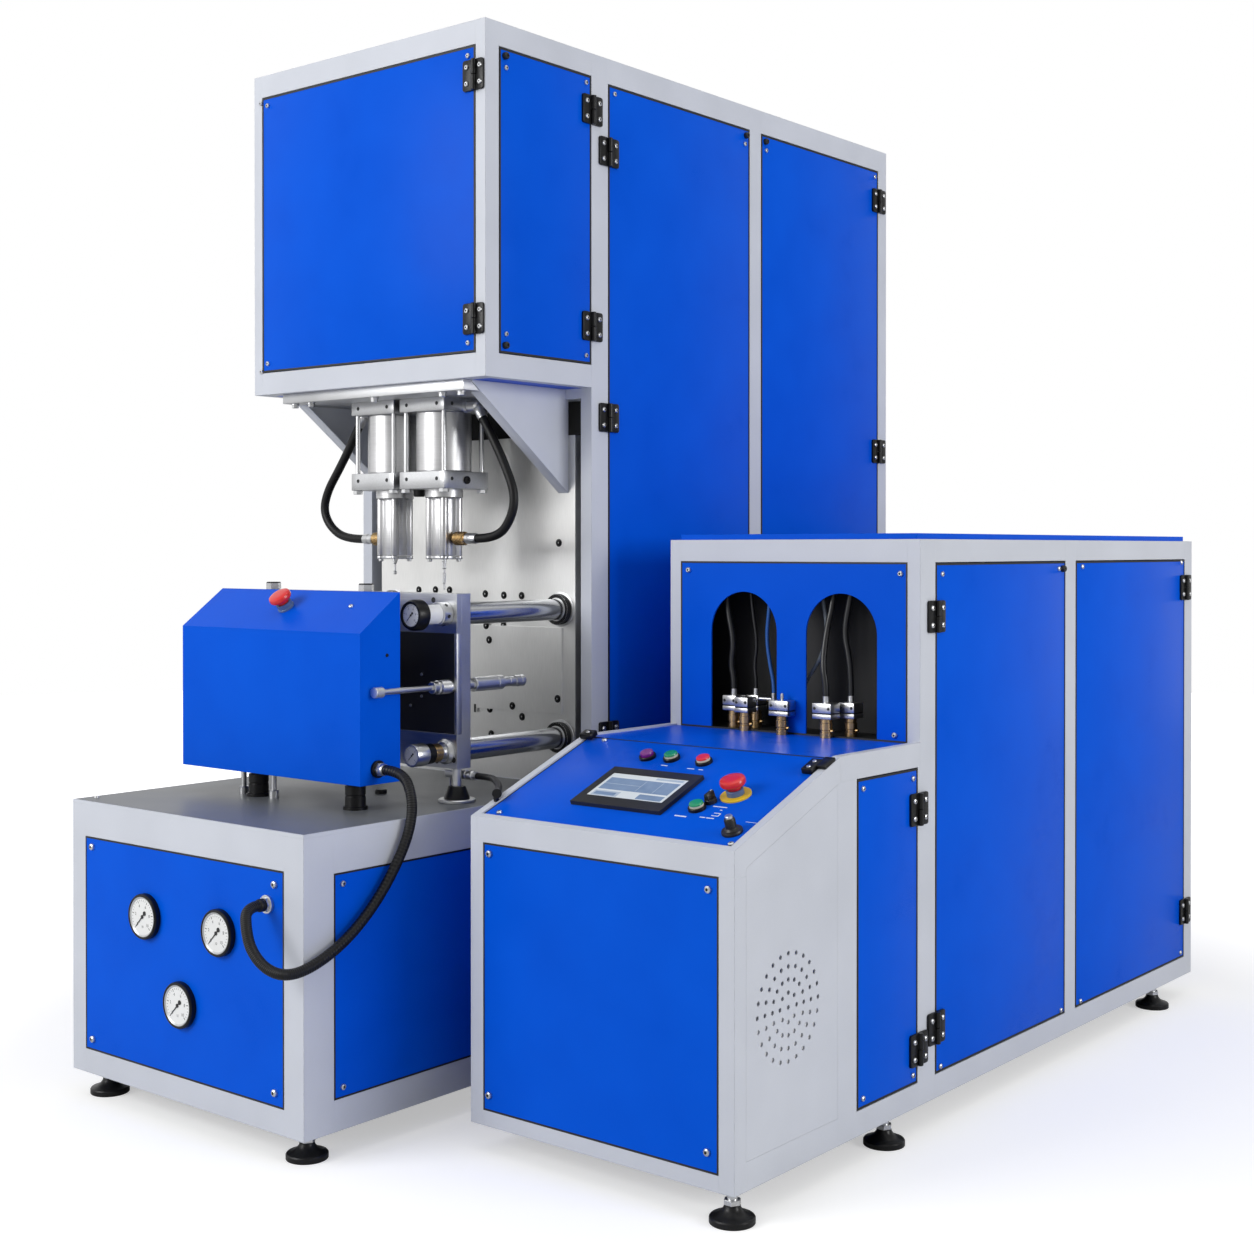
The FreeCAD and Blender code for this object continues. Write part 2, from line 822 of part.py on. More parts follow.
# ---------------------------------------------------------------------------- clamp housing
# A blue sheet box with a sloping top, and an emergency stop on it, in front of the platen. The
# clamp cylinder inside it is a thick block, bored for the piston, between front and rear sheets.
sizes(
    housing_margin=60,
    housing_width=483,
    housing_lead=500,
    housing_depth=91,
    housing_low=48,
    housing_front_height=256,
    housing_back_height=323.5,
    cylinder_body=160,
    piston_clearance=3,
    mushroom_plate=50,
    mushroom_plate_height=3,
    mushroom_collar=28,
    mushroom_collar_height=12,
    mushroom_stem=20,
    mushroom_head=41,
    mushroom_head_height=13,
    mushroom_height=31,
    mushroom_travel=5,
    housing_stop_across=234,
    housing_stop_up=62,
)
places(
    housing_left="tower_left + housing_margin",
    housing_right="housing_left + housing_width",
    housing_front="tower_front - housing_lead",
    housing_back="housing_front + housing_depth",
    housing_foot="deck + housing_low",
    housing_eave="housing_foot + housing_front_height",
    housing_ridge="housing_foot + housing_back_height",
    housing_angle="atan((housing_ridge - housing_eave) / housing_depth)",
    housing_inside_left="housing_left + panel_sheet",
    housing_inside_right="housing_right - panel_sheet",
    housing_inside_front="housing_front + panel_sheet",
    housing_inside_back="housing_back - panel_sheet",
    housing_inside_foot="housing_foot + panel_sheet",
    rear_sheet_top="housing_ridge - 2 * panel_sheet",
    body_left="tower_middle - cylinder_body / 2",
    body_right="tower_middle + cylinder_body / 2",
    body_foot="piston_line - cylinder_body / 2",
    body_top="piston_line + cylinder_body / 2",
)
side_outline = (
    ("housing_front", "housing_foot"),
    ("housing_back", "housing_foot"),
    ("housing_back", "housing_ridge"),
    ("housing_front", "housing_eave"),
)
top_outline = (
    ("housing_front", "housing_eave - panel_sheet"),
    ("housing_back", "housing_ridge - panel_sheet"),
    ("housing_back", "housing_ridge"),
    ("housing_front", "housing_eave"),
)
rear = ("housing_inside_back", "housing_back")
housing_slope = ("housing_left", "housing_front", "housing_eave", "housing_angle")
mushroom_bore = "mushroom_stem + 2 * running_gap"
node(
    "clamp_housing",
    slope_ring(
        housing_slope,
        "housing_stop_across",
        "housing_stop_up",
        mushroom_bore,
        "mushroom_collar",
        "mushroom_collar_height",
    ),
    pad("x", "housing_left", "housing_inside_left", side_outline),
    pad("x", "housing_inside_right", "housing_right", side_outline),
    pad("x", "housing_inside_left", "housing_inside_right", top_outline),
    block(
        "housing_inside_left",
        "housing_inside_right",
        "housing_front",
        "housing_inside_front",
        "housing_inside_foot",
        "housing_eave - panel_sheet",
    ),
    block(
        "housing_inside_left",
        "housing_inside_right",
        "housing_front",
        "housing_back",
        "housing_foot",
        "housing_inside_foot",
    ),
    block("housing_inside_left", "body_left", *rear, "housing_inside_foot", "rear_sheet_top"),
    block("body_right", "housing_inside_right", *rear, "housing_inside_foot", "rear_sheet_top"),
    block("body_left", "body_right", *rear, "housing_inside_foot", "body_foot"),
    block("body_left", "body_right", *rear, "body_top", "rear_sheet_top"),
)
head_foot = "mushroom_height - mushroom_head_height"
mushroom_profile = (
    ("0", "mushroom_travel + running_gap"),
    ("mushroom_stem / 2", "mushroom_travel + running_gap"),
    ("mushroom_stem / 2", head_foot),
    ("mushroom_head / 2", head_foot),
    ("mushroom_head / 2", "mushroom_height - mushroom_head_height / 4"),
    ("mushroom_head * 0.4", "mushroom_height"),
    ("0", "mushroom_height"),
)
node(
    "housing_stop_button",
    on_slope(housing_slope, turned(mushroom_profile), "housing_stop_across", "housing_stop_up"),
)
body = block("body_left", "body_right", "housing_inside_front", "housing_back", "body_foot", "body_top")
bore = rod(
    "y",
    "tower_middle",
    "piston_line",
    "housing_inside_front - 1",
    "housing_back + 1",
    "piston_diameter + 2 * running_gap",
)
node("clamp_cylinder", cut(body, bore))
node(
    "clamp_piston",
    block("platen_left", "platen_right", "platen_front", "platen_step", "strip_low_top", "strip_high_foot"),
    rod(
        "y",
        "tower_middle",
        "piston_line",
        "housing_inside_front + piston_clearance",
        "platen_front",
        "piston_diameter",
    ),
)

# ---------------------------------------------------------------------------- clamp gauges
# On the platen's front, at the right bars: a pressure gauge on a white cylinder above, and a
# regulator with a small gauge below. Plain collars close the two left bars.
sizes(
    gauge_collar=42,
    gauge_collar_length=22,
    white_cylinder=34.5,
    white_cylinder_length=38,
    clamp_gauge=54,
    clamp_gauge_length=26,
    gauge_rim=2,
    dial_recess=3,
    regulator_flange=45,
    regulator_flange_length=8,
    regulator_body=34,
    regulator_body_length=46,
    regulator_gauge=40,
    regulator_gauge_length=30,
    left_collar_length=16,
    needle_thick=1,
    needle_lift=0.5,
    needle_width=2.4,
    needle_hub=5,
    needle_zero=135,
)


def gauge_case(diameter, length):
    """A round case with a raised rim round its sunk dial; its pin carries the needle."""
    dial = f"{length} - dial_recess"
    return turned(
        (
            ("0", "0"),
            (f"{diameter} / 2", "0"),
            (f"{diameter} / 2", length),
            (f"{diameter} / 2 - gauge_rim", length),
            (f"{diameter} / 2 - gauge_rim", dial),
            ("0", dial),
        )
    )


def needle(diameter, x, y, z):
    """A pointer on its hub, at rest on the zero mark, low on the dial's left."""
    hub = rod("y", "0", "0", "-needle_thick", "0", "needle_hub")
    tip = f"{diameter} / 2 - 3 * gauge_rim"
    pointer = block("-needle_width / 2", "needle_width / 2", "-needle_thick", "0", "0", tip)
    return swing(fuse(hub, pointer), x, y, z, FreeCAD.Vector(0, -1, 0), "needle_zero")


places(
    white_front="platen_front - gauge_collar_length",
    upper_gauge_back="white_front - white_cylinder_length",
    upper_dial="upper_gauge_back - clamp_gauge_length + dial_recess",
    regulator_front="platen_front - regulator_flange_length",
    lower_gauge_back="regulator_front - regulator_body_length",
    lower_dial="lower_gauge_back - regulator_gauge_length + dial_recess",
)
node(
    "clamp_gauges",
    rod("y", "right_bar", "upper_bar", "white_front", "platen_front", "gauge_collar"),
    rod("y", "right_bar", "upper_bar", "upper_gauge_back", "white_front", "white_cylinder"),
    put(gauge_case("clamp_gauge", "clamp_gauge_length"), "right_bar", "upper_gauge_back", "upper_bar", "-y"),
    rod("y", "right_bar", "lower_bar", "regulator_front", "platen_front", "regulator_flange"),
    rod("y", "right_bar", "lower_bar", "lower_gauge_back", "regulator_front", "regulator_body"),
    put(
        gauge_case("regulator_gauge", "regulator_gauge_length"),
        "right_bar",
        "lower_gauge_back",
        "lower_bar",
        "-y",
    ),
    rod("y", "left_bar", "upper_bar", "platen_front - left_collar_length", "platen_front", "gauge_collar"),
    rod("y", "left_bar", "lower_bar", "platen_front - left_collar_length", "platen_front", "gauge_collar"),
)
node("upper_needle", needle("clamp_gauge", "right_bar", "upper_dial - needle_lift", "upper_bar"))
node("lower_needle", needle("regulator_gauge", "right_bar", "lower_dial - needle_lift", "lower_bar"))

# ---------------------------------------------------------------------------- stop rod
# An adjustable rod beside the right bars: its nut and collar in front of the platen, and behind
# it the damper whose cap meets the back plate.
sizes(
    stop_offset=12,
    stop_height=204,
    stop_rod_diameter=10.5,
    stop_nut=19,
    stop_nut_length=19,
    stop_front_length=181,
    stop_collar=25,
    stop_collar_length=46,
    stop_spacer=16,
    stop_spacer_length=22,
    damper=26,
    damper_length=74,
    damper_neck=18,
    damper_neck_length=33,
    damper_cap=21,
    damper_cap_length=24,
)
places(
    stop_line="right_bar + stop_offset",
    stop_level="deck + stop_height",
)
front_profile = (
    ("0", "0"),
    ("stop_collar / 2", "0"),
    ("stop_collar / 2", "stop_collar_length"),
    ("stop_rod_diameter / 2", "stop_collar_length"),
    ("stop_rod_diameter / 2", "stop_front_length - stop_nut_length"),
    ("stop_nut / 2", "stop_front_length - stop_nut_length"),
    ("stop_nut / 2", "stop_front_length"),
    ("0", "stop_front_length"),
)
neck_start = "stop_spacer_length + damper_length"
cap_start = "stop_spacer_length + damper_length + damper_neck_length"
back_profile = (
    ("0", "0"),
    ("stop_spacer / 2", "0"),
    ("stop_spacer / 2", "stop_spacer_length"),
    ("damper / 2", "stop_spacer_length"),
    ("damper / 2", neck_start),
    ("damper_neck / 2", neck_start),
    ("damper_neck / 2", cap_start),
    ("damper_cap / 2", cap_start),
    ("damper_cap / 2", cap_start + " + damper_cap_length"),
    ("0", cap_start + " + damper_cap_length"),
)
node(
    "stop_rod",
    put(turned(front_profile), "stop_line", "platen_front", "stop_level", "-y"),
    put(turned(back_profile), "stop_line", "platen_back", "stop_level", "y"),
)

# ---------------------------------------------------------------------------- deck fittings
# Standing on the deck: the black pillar and two sleeved bolts that carry the clamp housing, the
# support under the platen's right end, and an air manifold on a stud with its side fitting.
sizes(
    pillar_offset=225,
    pillar_lead=457,
    pillar_diameter=36,
    pillar_flange=43,
    pillar_flange_height=6,
    pillar_nut=24,
    pillar_nut_height=8,
    bolt_spread=42,
    bolt_diameter=10,
    bolt_foot=18,
    bolt_foot_height=14,
    right_pillar_inset=60,
    support_inset=13,
    support_lead=285,
    support_disc=66,
    support_disc_height=6,
    support_cone_low=46,
    support_cone_high=30,
    support_cone_height=22,
    support_stem=16,
    manifold_size=14,
    manifold_inset=16,
    manifold_length=40,
    manifold_lead=266,
    manifold_gap=6,
    stud_diameter=9,
    manifold_port=17,
    manifold_port_length=34,
    bump_diameter=22,
    bump_height=8,
    bump_offset=62,
    bump_lead=298,
)
places(
    pillar_line="tower_left + pillar_offset",
    pillar_row="tower_front - pillar_lead",
    manifold_top="platen_foot - manifold_gap",
    manifold_foot="manifold_top - manifold_size",
    manifold_right="platen_right - manifold_inset",
    manifold_left="manifold_right - manifold_length",
    manifold_row="tower_front - manifold_lead",
    manifold_line="manifold_top - manifold_size / 2",
    support_line="platen_right - support_inset",
)
pillar_profile = (
    ("0", "0"),
    ("pillar_flange / 2", "0"),
    ("pillar_flange / 2", "pillar_flange_height"),
    ("pillar_diameter / 2", "pillar_flange_height"),
    ("pillar_diameter / 2", "housing_low - pillar_nut_height"),
    ("pillar_nut / 2", "housing_low - pillar_nut_height"),
    ("pillar_nut / 2", "housing_low"),
    ("0", "housing_low"),
)
bolt_profile = (
    ("0", "0"),
    ("bolt_foot / 2", "0"),
    ("bolt_foot / 2", "bolt_foot_height"),
    ("bolt_diameter / 2", "bolt_foot_height"),
    ("bolt_diameter / 2", "housing_low"),
    ("0", "housing_low"),
)
cone_top = "support_disc_height + support_cone_height"
support_profile = (
    ("0", "0"),
    ("support_disc / 2", "0"),
    ("support_disc / 2", "support_disc_height"),
    ("support_cone_low / 2", "support_disc_height"),
    ("support_cone_high / 2", cone_top),
    ("support_stem / 2", cone_top),
    ("support_stem / 2", "platen_low - running_gap"),
    ("0", "platen_low - running_gap"),
)
half_bar = "manifold_size / 2"
deck_pieces = [
    put(turned(pillar_profile), "pillar_line", "pillar_row", "deck"),
    put(turned(pillar_profile), "housing_right - right_pillar_inset", "pillar_row", "deck"),
    put(turned(bolt_profile), "pillar_line - bolt_spread", "pillar_row", "deck"),
    put(turned(bolt_profile), "pillar_line + bolt_spread", "pillar_row", "deck"),
    put(turned(support_profile), "support_line", "tower_front - support_lead", "deck"),
    block(
        "manifold_left",
        "manifold_right",
        f"manifold_row - {half_bar}",
        f"manifold_row + {half_bar}",
        "manifold_foot",
        "manifold_top",
    ),
    rod("z", f"manifold_left + {half_bar}", "manifold_row", "deck", "manifold_foot", "stud_diameter"),
    rod(
        "x",
        "manifold_row",
        "manifold_line",
        "manifold_right",
        "manifold_right + manifold_port_length",
        "manifold_port",
    ),
    rod(
        "z",
        "tower_middle + bump_offset",
        "tower_front - bump_lead",
        "deck",
        "deck + bump_height",
        "bump_diameter",
    ),
]

# ---------------------------------------------------------------------------- base gauges
# Three pressure gauges on the front sheet, each with its needle.
sizes(
    base_gauge=78,
    base_gauge_length=12,
    base_gauge_left=219,
    base_gauge_right=419,
    base_gauge_middle=316,
    base_gauge_high=300,
    base_gauge_low=165,
)
base_gauges = (
    ("left", "tower_left + base_gauge_left", "foot_height + base_gauge_high"),
    ("right", "tower_left + base_gauge_right", "foot_height + base_gauge_high"),
    ("low", "tower_left + base_gauge_middle", "foot_height + base_gauge_low"),
)
gauge_cases = [
    put(gauge_case("base_gauge", "base_gauge_length"), x, "base_front", z, "-y") for _, x, z in base_gauges
]
node("base_gauges", *gauge_cases)
for name, x, z in base_gauges:
    dial = "base_front - base_gauge_length + dial_recess - needle_lift"
    node(f"base_needle_{name}", needle("base_gauge", x, dial, z))

# ---------------------------------------------------------------------------- conduit
# The cable conduit hangs from the gland in the housing's right side, over the deck's edge and
# round the corner to its entry in the base's front. Its two glands close the deck's fittings.
sizes(
    conduit=17.5,
    entry_offset=539,
    entry_height=362,
    entry_flange=30,
    entry_flange_length=6,
    entry_ferrule=21,
    entry_length=20,
    gland_lead=462,
    gland_height=26,
)
places(
    entry_line="tower_left + entry_offset",
    entry_level="foot_height + entry_height",
    gland_row="tower_front - gland_lead",
    gland_level="housing_foot + gland_height",
)
gland_profile = (
    ("0", "0"),
    ("entry_flange / 2", "0"),
    ("entry_flange / 2", "entry_flange_length"),
    ("entry_ferrule / 2", "entry_flange_length"),
    ("entry_ferrule / 2", "entry_length"),
    ("0", "entry_length"),
)
housing_gland = put(turned(gland_profile), "housing_right", "gland_row", "gland_level", "x")
entry_gland = put(turned(gland_profile), "entry_line", "base_front", "entry_level", "-y")
node("deck_fittings", *deck_pieces, housing_gland, entry_gland)
node(
    "conduit",
    tube(
        "conduit",
        "conduit",
        [
            (-76, -744.5, 599),
            (-34, -744.5, 599),
            (-6, -750.5, 566),
            (1, -756.5, 524),
            (1, -778, 474),
            (1, -826, 411),
            (2, -882, 363),
            (3, -938, 333),
            (0, -990, 316),
            (-12, -1021, 315),
            (-37, -1034.5, 327),
            (-62, -1039, 351),
            (-80, -1034, 380),
            (-100, -1018.5, 407),
            (-100, -994.5, 407),
        ],
    ),
)

# ---------------------------------------------------------------------------- cabinet and console
# One welded frame: the cabinet behind and the console with its sloping top in front.
sizes(
    cabinet_post=24,
    cabinet_post_depth=51,
    cabinet_bay=501,
    cabinet_middle_post=45,
    cabinet_rear_post=40,
    cabinet_header=39,
    cabinet_sill=40,
    console_stile=28,
    console_post_depth=29,
    console_header=40,
    console_header_depth=11,
    console_rail=14,
    console_sill=25,
    console_side_sill=43,
    vent_back_offset=274,
    console_door_front=329,
    console_door_back=520,
    surface_recess=3,
)
places(
    cabinet_bay_front="cabinet_front + cabinet_post_depth",
    cabinet_middle_front="cabinet_bay_front + cabinet_bay",
    cabinet_middle_back="cabinet_middle_front + cabinet_middle_post",
    cabinet_bay_back="cabinet_rear - cabinet_rear_post",
    cabinet_inside_left="cabinet_left + cabinet_post",
    cabinet_inside_right="cabinet_right - cabinet_post",
    cabinet_door_low="foot_height + cabinet_sill",
    cabinet_door_high="cabinet_top - cabinet_header",
    console_left="cabinet_left + console_rail",
    console_right="cabinet_right - console_rail",
    console_post_back="console_front + console_post_depth",
    console_under="console_eave - console_header",
    ledge_under="console_ridge - console_header",
    grade="console_rise / console_run",
    vent_back="console_front + vent_back_offset",
    vent_front_top="console_under + grade * console_post_depth",
    vent_back_top="console_under + grade * vent_back_offset",
    door_bay_front="console_front + console_door_front",
    door_bay_back="console_front + console_door_back",
    console_door_low="foot_height + cabinet_sill",
)
cabinet_walls = (("cabinet_left", "cabinet_inside_left"), ("cabinet_inside_right", "cabinet_right"))
cabinet_bays = (("cabinet_bay_front", "cabinet_middle_front"), ("cabinet_middle_back", "cabinet_bay_back"))
slope_rail = (
    ("console_front", "console_under"),
    ("console_post_back", "console_under"),
    ("console_post_back", "vent_front_top"),
    ("console_break", "ledge_under"),
    ("console_break", "console_ridge"),
    ("console_front", "console_eave"),
)
console_post = (
    ("vent_back", "foot_height"),
    ("door_bay_front", "foot_height"),
    ("door_bay_front", "ledge_under"),
    ("console_break", "ledge_under"),
    ("vent_back", "vent_back_top"),
)
header_lip = "grade * console_header_depth"
front_header = (
    ("console_front", "console_under"),
    ("console_front + console_header_depth", "console_under"),
    ("console_front + console_header_depth", f"console_eave + {header_lip}"),
    ("console_front", "console_eave"),
)
frame = [
    pad("x", "console_left", "console_right", front_header),
    block(
        "cabinet_left + console_stile",
        "cabinet_right - console_stile",
        "console_front",
        "console_post_back",
        "foot_height",
        "foot_height + console_sill",
    ),
]
for stile, rail, wall in (
    (
        ("cabinet_left", "cabinet_left + console_stile"),
        ("cabinet_left", "console_left"),
        cabinet_walls[0],
    ),
    (
        ("cabinet_right - console_stile", "cabinet_right"),
        ("console_right", "cabinet_right"),
        cabinet_walls[1],
    ),
):
    frame.append(block(*stile, "console_front", "console_post_back", "foot_height", "console_under"))
    frame.append(pad("x", *rail, slope_rail))
    frame.append(block(*rail, "console_break", "cabinet_front", "ledge_under", "console_ridge"))
    frame.append(pad("x", *wall, console_post))
    frame.append(block(*wall, "door_bay_back", "cabinet_front", "foot_height", "ledge_under"))
    side_sill = "foot_height + console_side_sill"
    frame.append(block(*wall, "console_post_back", "vent_back", "foot_height", side_sill))
    frame.append(block(*wall, "door_bay_front", "door_bay_back", "foot_height", "console_door_low"))
    frame.append(block(*wall, "cabinet_front", "cabinet_bay_front", "foot_height", "cabinet_top"))
    frame.append(block(*wall, "cabinet_middle_front", "cabinet_middle_back", "foot_height", "cabinet_top"))
    frame.append(block(*wall, "cabinet_bay_back", "cabinet_rear", "foot_height", "cabinet_top"))
    for y1, y2 in cabinet_bays:
        frame.append(block(*wall, y1, y2, "foot_height", "cabinet_door_low"))
        frame.append(block(*wall, y1, y2, "cabinet_door_high", "cabinet_top"))
between = ("cabinet_inside_left", "cabinet_inside_right")
frame.append(block(*between, "cabinet_front", "cabinet_bay_front", "cabinet_door_high", "cabinet_top"))
frame.append(block(*between, "cabinet_bay_back", "cabinet_rear", "cabinet_door_high", "cabinet_top"))
frame.append(block(*between, "cabinet_bay_back", "cabinet_rear", "foot_height", "cabinet_door_low"))
node("cabinet_frame", *frame)

# Fixed blue sheets: console front and left side, ledge, cabinet left side and back, the raised
# roof, and the dark tray behind the two arched openings.
sizes(roof_rise=10, roof_inset=14, tray_depth=95)
places(
    ledge_top="console_ridge - surface_recess",
    tray_back="cabinet_front + panel_sheet + tray_depth",
)
left_vent = (
    ("console_post_back", "foot_height + console_side_sill"),
    ("vent_back", "foot_height + console_side_sill"),
    ("vent_back", "vent_back_top"),
    ("console_post_back", "vent_front_top"),
)
sheets = [
    block(
        "cabinet_left + console_stile",
        "cabinet_right - console_stile",
        "console_front",
        "console_front + panel_sheet",
        "foot_height + console_sill",
        "console_under",
    ),
    pad("x", "cabinet_left", "cabinet_left + panel_sheet", left_vent),
    block(
        "cabinet_left",
        "cabinet_left + panel_sheet",
        "door_bay_front",
        "door_bay_back",
        "console_door_low",
        "ledge_under",
    ),
    block(
        "console_left",
        "console_right",
        "console_break",
        "cabinet_front",
        "ledge_top - panel_sheet",
        "ledge_top",
    ),
    block(
        "cabinet_inside_left",
        "cabinet_inside_right",
        "cabinet_rear - panel_sheet",
        "cabinet_rear",
        "cabinet_door_low",
        "cabinet_door_high",
    ),
    block(
        "cabinet_left + roof_inset",
        "cabinet_right - roof_inset",
        "cabinet_front + roof_inset",
        "cabinet_rear - roof_inset",
        "cabinet_top",
        "cabinet_top + roof_rise",
    ),
    block(
        "cabinet_inside_left",
        "cabinet_inside_right",
        "cabinet_front",
        "tray_back",
        "ledge_top - panel_sheet",
        "ledge_top",
    ),
    block(
        "cabinet_inside_left",
        "cabinet_inside_right",
        "tray_back - panel_sheet",
        "tray_back",
        "ledge_top",
        "cabinet_door_high",
    ),
    block(
        "cabinet_inside_left",
        "cabinet_inside_right",
        "cabinet_bay_front",
        "tray_back",
        "cabinet_door_high",
        "cabinet_door_high + panel_sheet",
    ),
]
for y1, y2 in cabinet_bays:
    left_sheet = ("cabinet_left", "cabinet_left + panel_sheet")
    sheets.append(block(*left_sheet, y1, y2, "cabinet_door_low", "cabinet_door_high"))
node("cabinet_panels", *sheets)

# ---------------------------------------------------------------------------- console vent panel
# A grey side sheet with rings of round holes for the fan behind it.
sizes(
    vent_hole=7,
    vent_first_ring=22,
    vent_pitch=19.5,
    vent_centre_back=137.5,
    vent_centre_height=244,
)
vent_sheet = pad("x", "cabinet_right - panel_sheet", "cabinet_right", left_vent)
doc.recompute()
drills = []
HOLES_IN_RINGS = (1, 8, 16, 20, 24)
for ring_number, holes in enumerate(HOLES_IN_RINGS):
    ring_radius = 0
    if ring_number:
        ring_radius = value_of("vent_first_ring") + (ring_number - 1) * value_of("vent_pitch")
    for hole in range(holes):
        around = 2 * math.pi * hole / holes
        drill_start = FreeCAD.Vector(
            value_of("cabinet_right") - 2 * value_of("panel_sheet"),
            value_of("console_front") + value_of("vent_centre_back") + ring_radius * math.sin(around),
            value_of("foot_height") + value_of("vent_centre_height") + ring_radius * math.cos(around),
        )
        drills.append(
            Part.makeCylinder(
                value_of("vent_hole") / 2, 3 * value_of("panel_sheet"), drill_start, FreeCAD.Vector(1, 0, 0)
            )
        )
vent_drills = doc.addObject("Part::Feature", "VentDrills")
vent_drills.Shape = Part.makeCompound(drills)
node("console_vent_panel", cut(vent_sheet, vent_drills))

# ---------------------------------------------------------------------------- air link hose
# A thin hose from the deck's manifold to the clip on the console's left rail.
sizes(link_hose=11.5)
node(
    "link_hose",
    tube(
        "link_hose",
        "link_hose",
        [
            (-52, -548.5, 571),
            (-17, -548.5, 571),
            (22, -580, 573),
            (78, -628, 572),
            (122, -680.5, 572),
        ],
    ),
)

# ---------------------------------------------------------------------------- console lid
# The sloping blue lid between the frame's rails, screwed down, with the collars of its controls
# and its black clips. A piece on it is placed by its distance from the cabinet's left side,
# its distance up the slope from the front edge and its lift off the face.
sizes(
    lid_seam=3.2,
    button_head=23,
    button_head_height=9,
    button_travel=3,
    button_bezel=29,
    button_bezel_height=6,
    purple_across=182,
    purple_up=246,
    green_across=230,
    green_up=249,
    red_across=297,
    red_up=247,
    jog_across=382,
    jog_up=106,
    mushroom_across=420,
    mushroom_up=157,
    clip_across=6,
    clip_up=63.8,
    clip_lift=12.65,
    clip_diameter=16,
    clip_length=16,
    clip_tab_inset=2,
    clip_tab_length=22,
    clip_tab_height=7,
    clamp_width=26,
    clamp_length=20,
    clamp_height=10,
    clamp_inset=6,
    right_clamp_inset=16,
    right_clamp_length=36,
    right_clamp_up=242,
    right_arm_length=32,
    right_arm_up=256,
    right_arm_height=6,
)
places(
    slope_length="sqrt(console_run ^ 2 + console_rise ^ 2)",
    lid_front="console_front + surface_recess * sin(lid_angle)",
    lid_foot="console_eave - surface_recess * cos(lid_angle)",
)
lid_slope = ("cabinet_left", "lid_front", "lid_foot", "lid_angle")


def lid_block(x1, x2, up1, up2, lift1, lift2):
    """A box that lies on the lid."""
    box = doc.addObject("Part::Box", "LidBlock")
    bind(box, Length=f"({x2}) - ({x1})", Width=f"({up2}) - ({up1})", Height=f"({lift2}) - ({lift1})")
    return on_slope(lid_slope, box, x1, up1, lift1)


push_buttons = (
    ("purple_button", "purple_across", "purple_up"),
    ("green_button", "green_across", "green_up"),
    ("red_button", "red_across", "red_up"),
    ("jog_button", "jog_across", "jog_up"),
)
lid_stop = ("mushroom_across", "mushroom_up")
lid_pieces = [
    lid_block(
        "console_rail",
        "cabinet_width - console_rail",
        "console_header_depth / cos(lid_angle)",
        "slope_length - lid_seam",
        "-panel_sheet",
        "0",
    ),
    slope_ring(lid_slope, *lid_stop, mushroom_bore, "mushroom_collar", "mushroom_collar_height"),
    slope_ring(lid_slope, *lid_stop, "mushroom_collar", "mushroom_plate", "mushroom_plate_height"),
    lid_block(
        "clamp_inset",
        "clamp_inset + clamp_width",
        "slope_length - clamp_length",
        "slope_length",
        "surface_recess",
        "surface_recess + clamp_height",
    ),
    fuse(
        lid_block(
            "cabinet_width - right_clamp_inset - clamp_length",
            "cabinet_width - right_clamp_inset",
            "right_clamp_up",
            "right_clamp_up + right_clamp_length",
            "0",
            "clamp_height",
        ),
        lid_block(
            "cabinet_width - right_clamp_inset - surface_recess",
            "cabinet_width",
            "right_arm_up",
            "right_arm_up + right_arm_length",
            "surface_recess",
            "surface_recess + right_arm_height",
        ),
    ),
]
for _, across, up in push_buttons:
    hole = "button_head + 2 * running_gap"
    lid_pieces.append(slope_ring(lid_slope, across, up, hole, "button_bezel", "button_bezel_height"))
saddle = doc.addObject("Part::Cylinder", "Saddle")
bind(saddle, Radius="clip_diameter / 2", Height="clip_length")
hose_crosswise = FreeCAD.Vector(0.7664, 0.6423, 0)
stand(
    saddle,
    *slope_point(lid_slope, "clip_across", "clip_up", "clip_lift"),
    FreeCAD.Rotation(hose_crosswise, 90),
)
clip_tab = lid_block(
    "clip_tab_inset",
    "console_rail",
    "clip_up - clip_tab_length",
    "clip_up - clip_diameter / 2",
    "surface_recess",
    "surface_recess + clip_tab_height",
)
clip = fuse(saddle, clip_tab)
clip.Refine = False
lid_pieces.append(clip)
node("console_lid", *lid_pieces)

# ---------------------------------------------------------------------------- console controls
# A touch screen, four push buttons, a selector, a speed knob and two emergency stops. Each
# button floats in its collar, clear of the face by its travel.
sizes(
    screen_left=152,
    screen_right=333,
    screen_low=75,
    screen_high=196,
    screen_lift=7,
    screen_side_border=14,
    screen_low_border=25,
    screen_high_border=20,
    screen_depth=1,
    selector_across=392,
    selector_up=129,
    selector_diameter=20,
    selector_height=8,
    selector_grip=8,
    selector_grip_height=18,
    speed_across=483,
    speed_up=53,
    speed_flange=33,
    speed_flange_height=5,
    speed_post=17,
    speed_post_height=24,
    speed_cap=12,
    speed_cap_height=28,
)
screen_case = lid_block("screen_left", "screen_right", "screen_low", "screen_high", "0", "screen_lift")
screen_window = lid_block(
    "screen_left + screen_side_border",
    "screen_right - screen_side_border",
    "screen_low + screen_low_border",
    "screen_high - screen_high_border",
    "screen_lift - screen_depth",
    "screen_lift + 1",
)
node("touch_screen", cut(screen_case, screen_window))
for name, across, up in push_buttons:
    head_profile = (
        ("0", "0"),
        ("button_head / 2", "0"),
        ("button_head / 2", "button_head_height"),
        ("0", "button_head_height"),
    )
    node(name, on_slope(lid_slope, turned(head_profile), across, up, "button_travel + running_gap"))
selector_profile = (
    ("0", "0"),
    ("selector_diameter / 2", "0"),
    ("selector_diameter / 2", "selector_height"),
    ("0", "selector_height"),
)
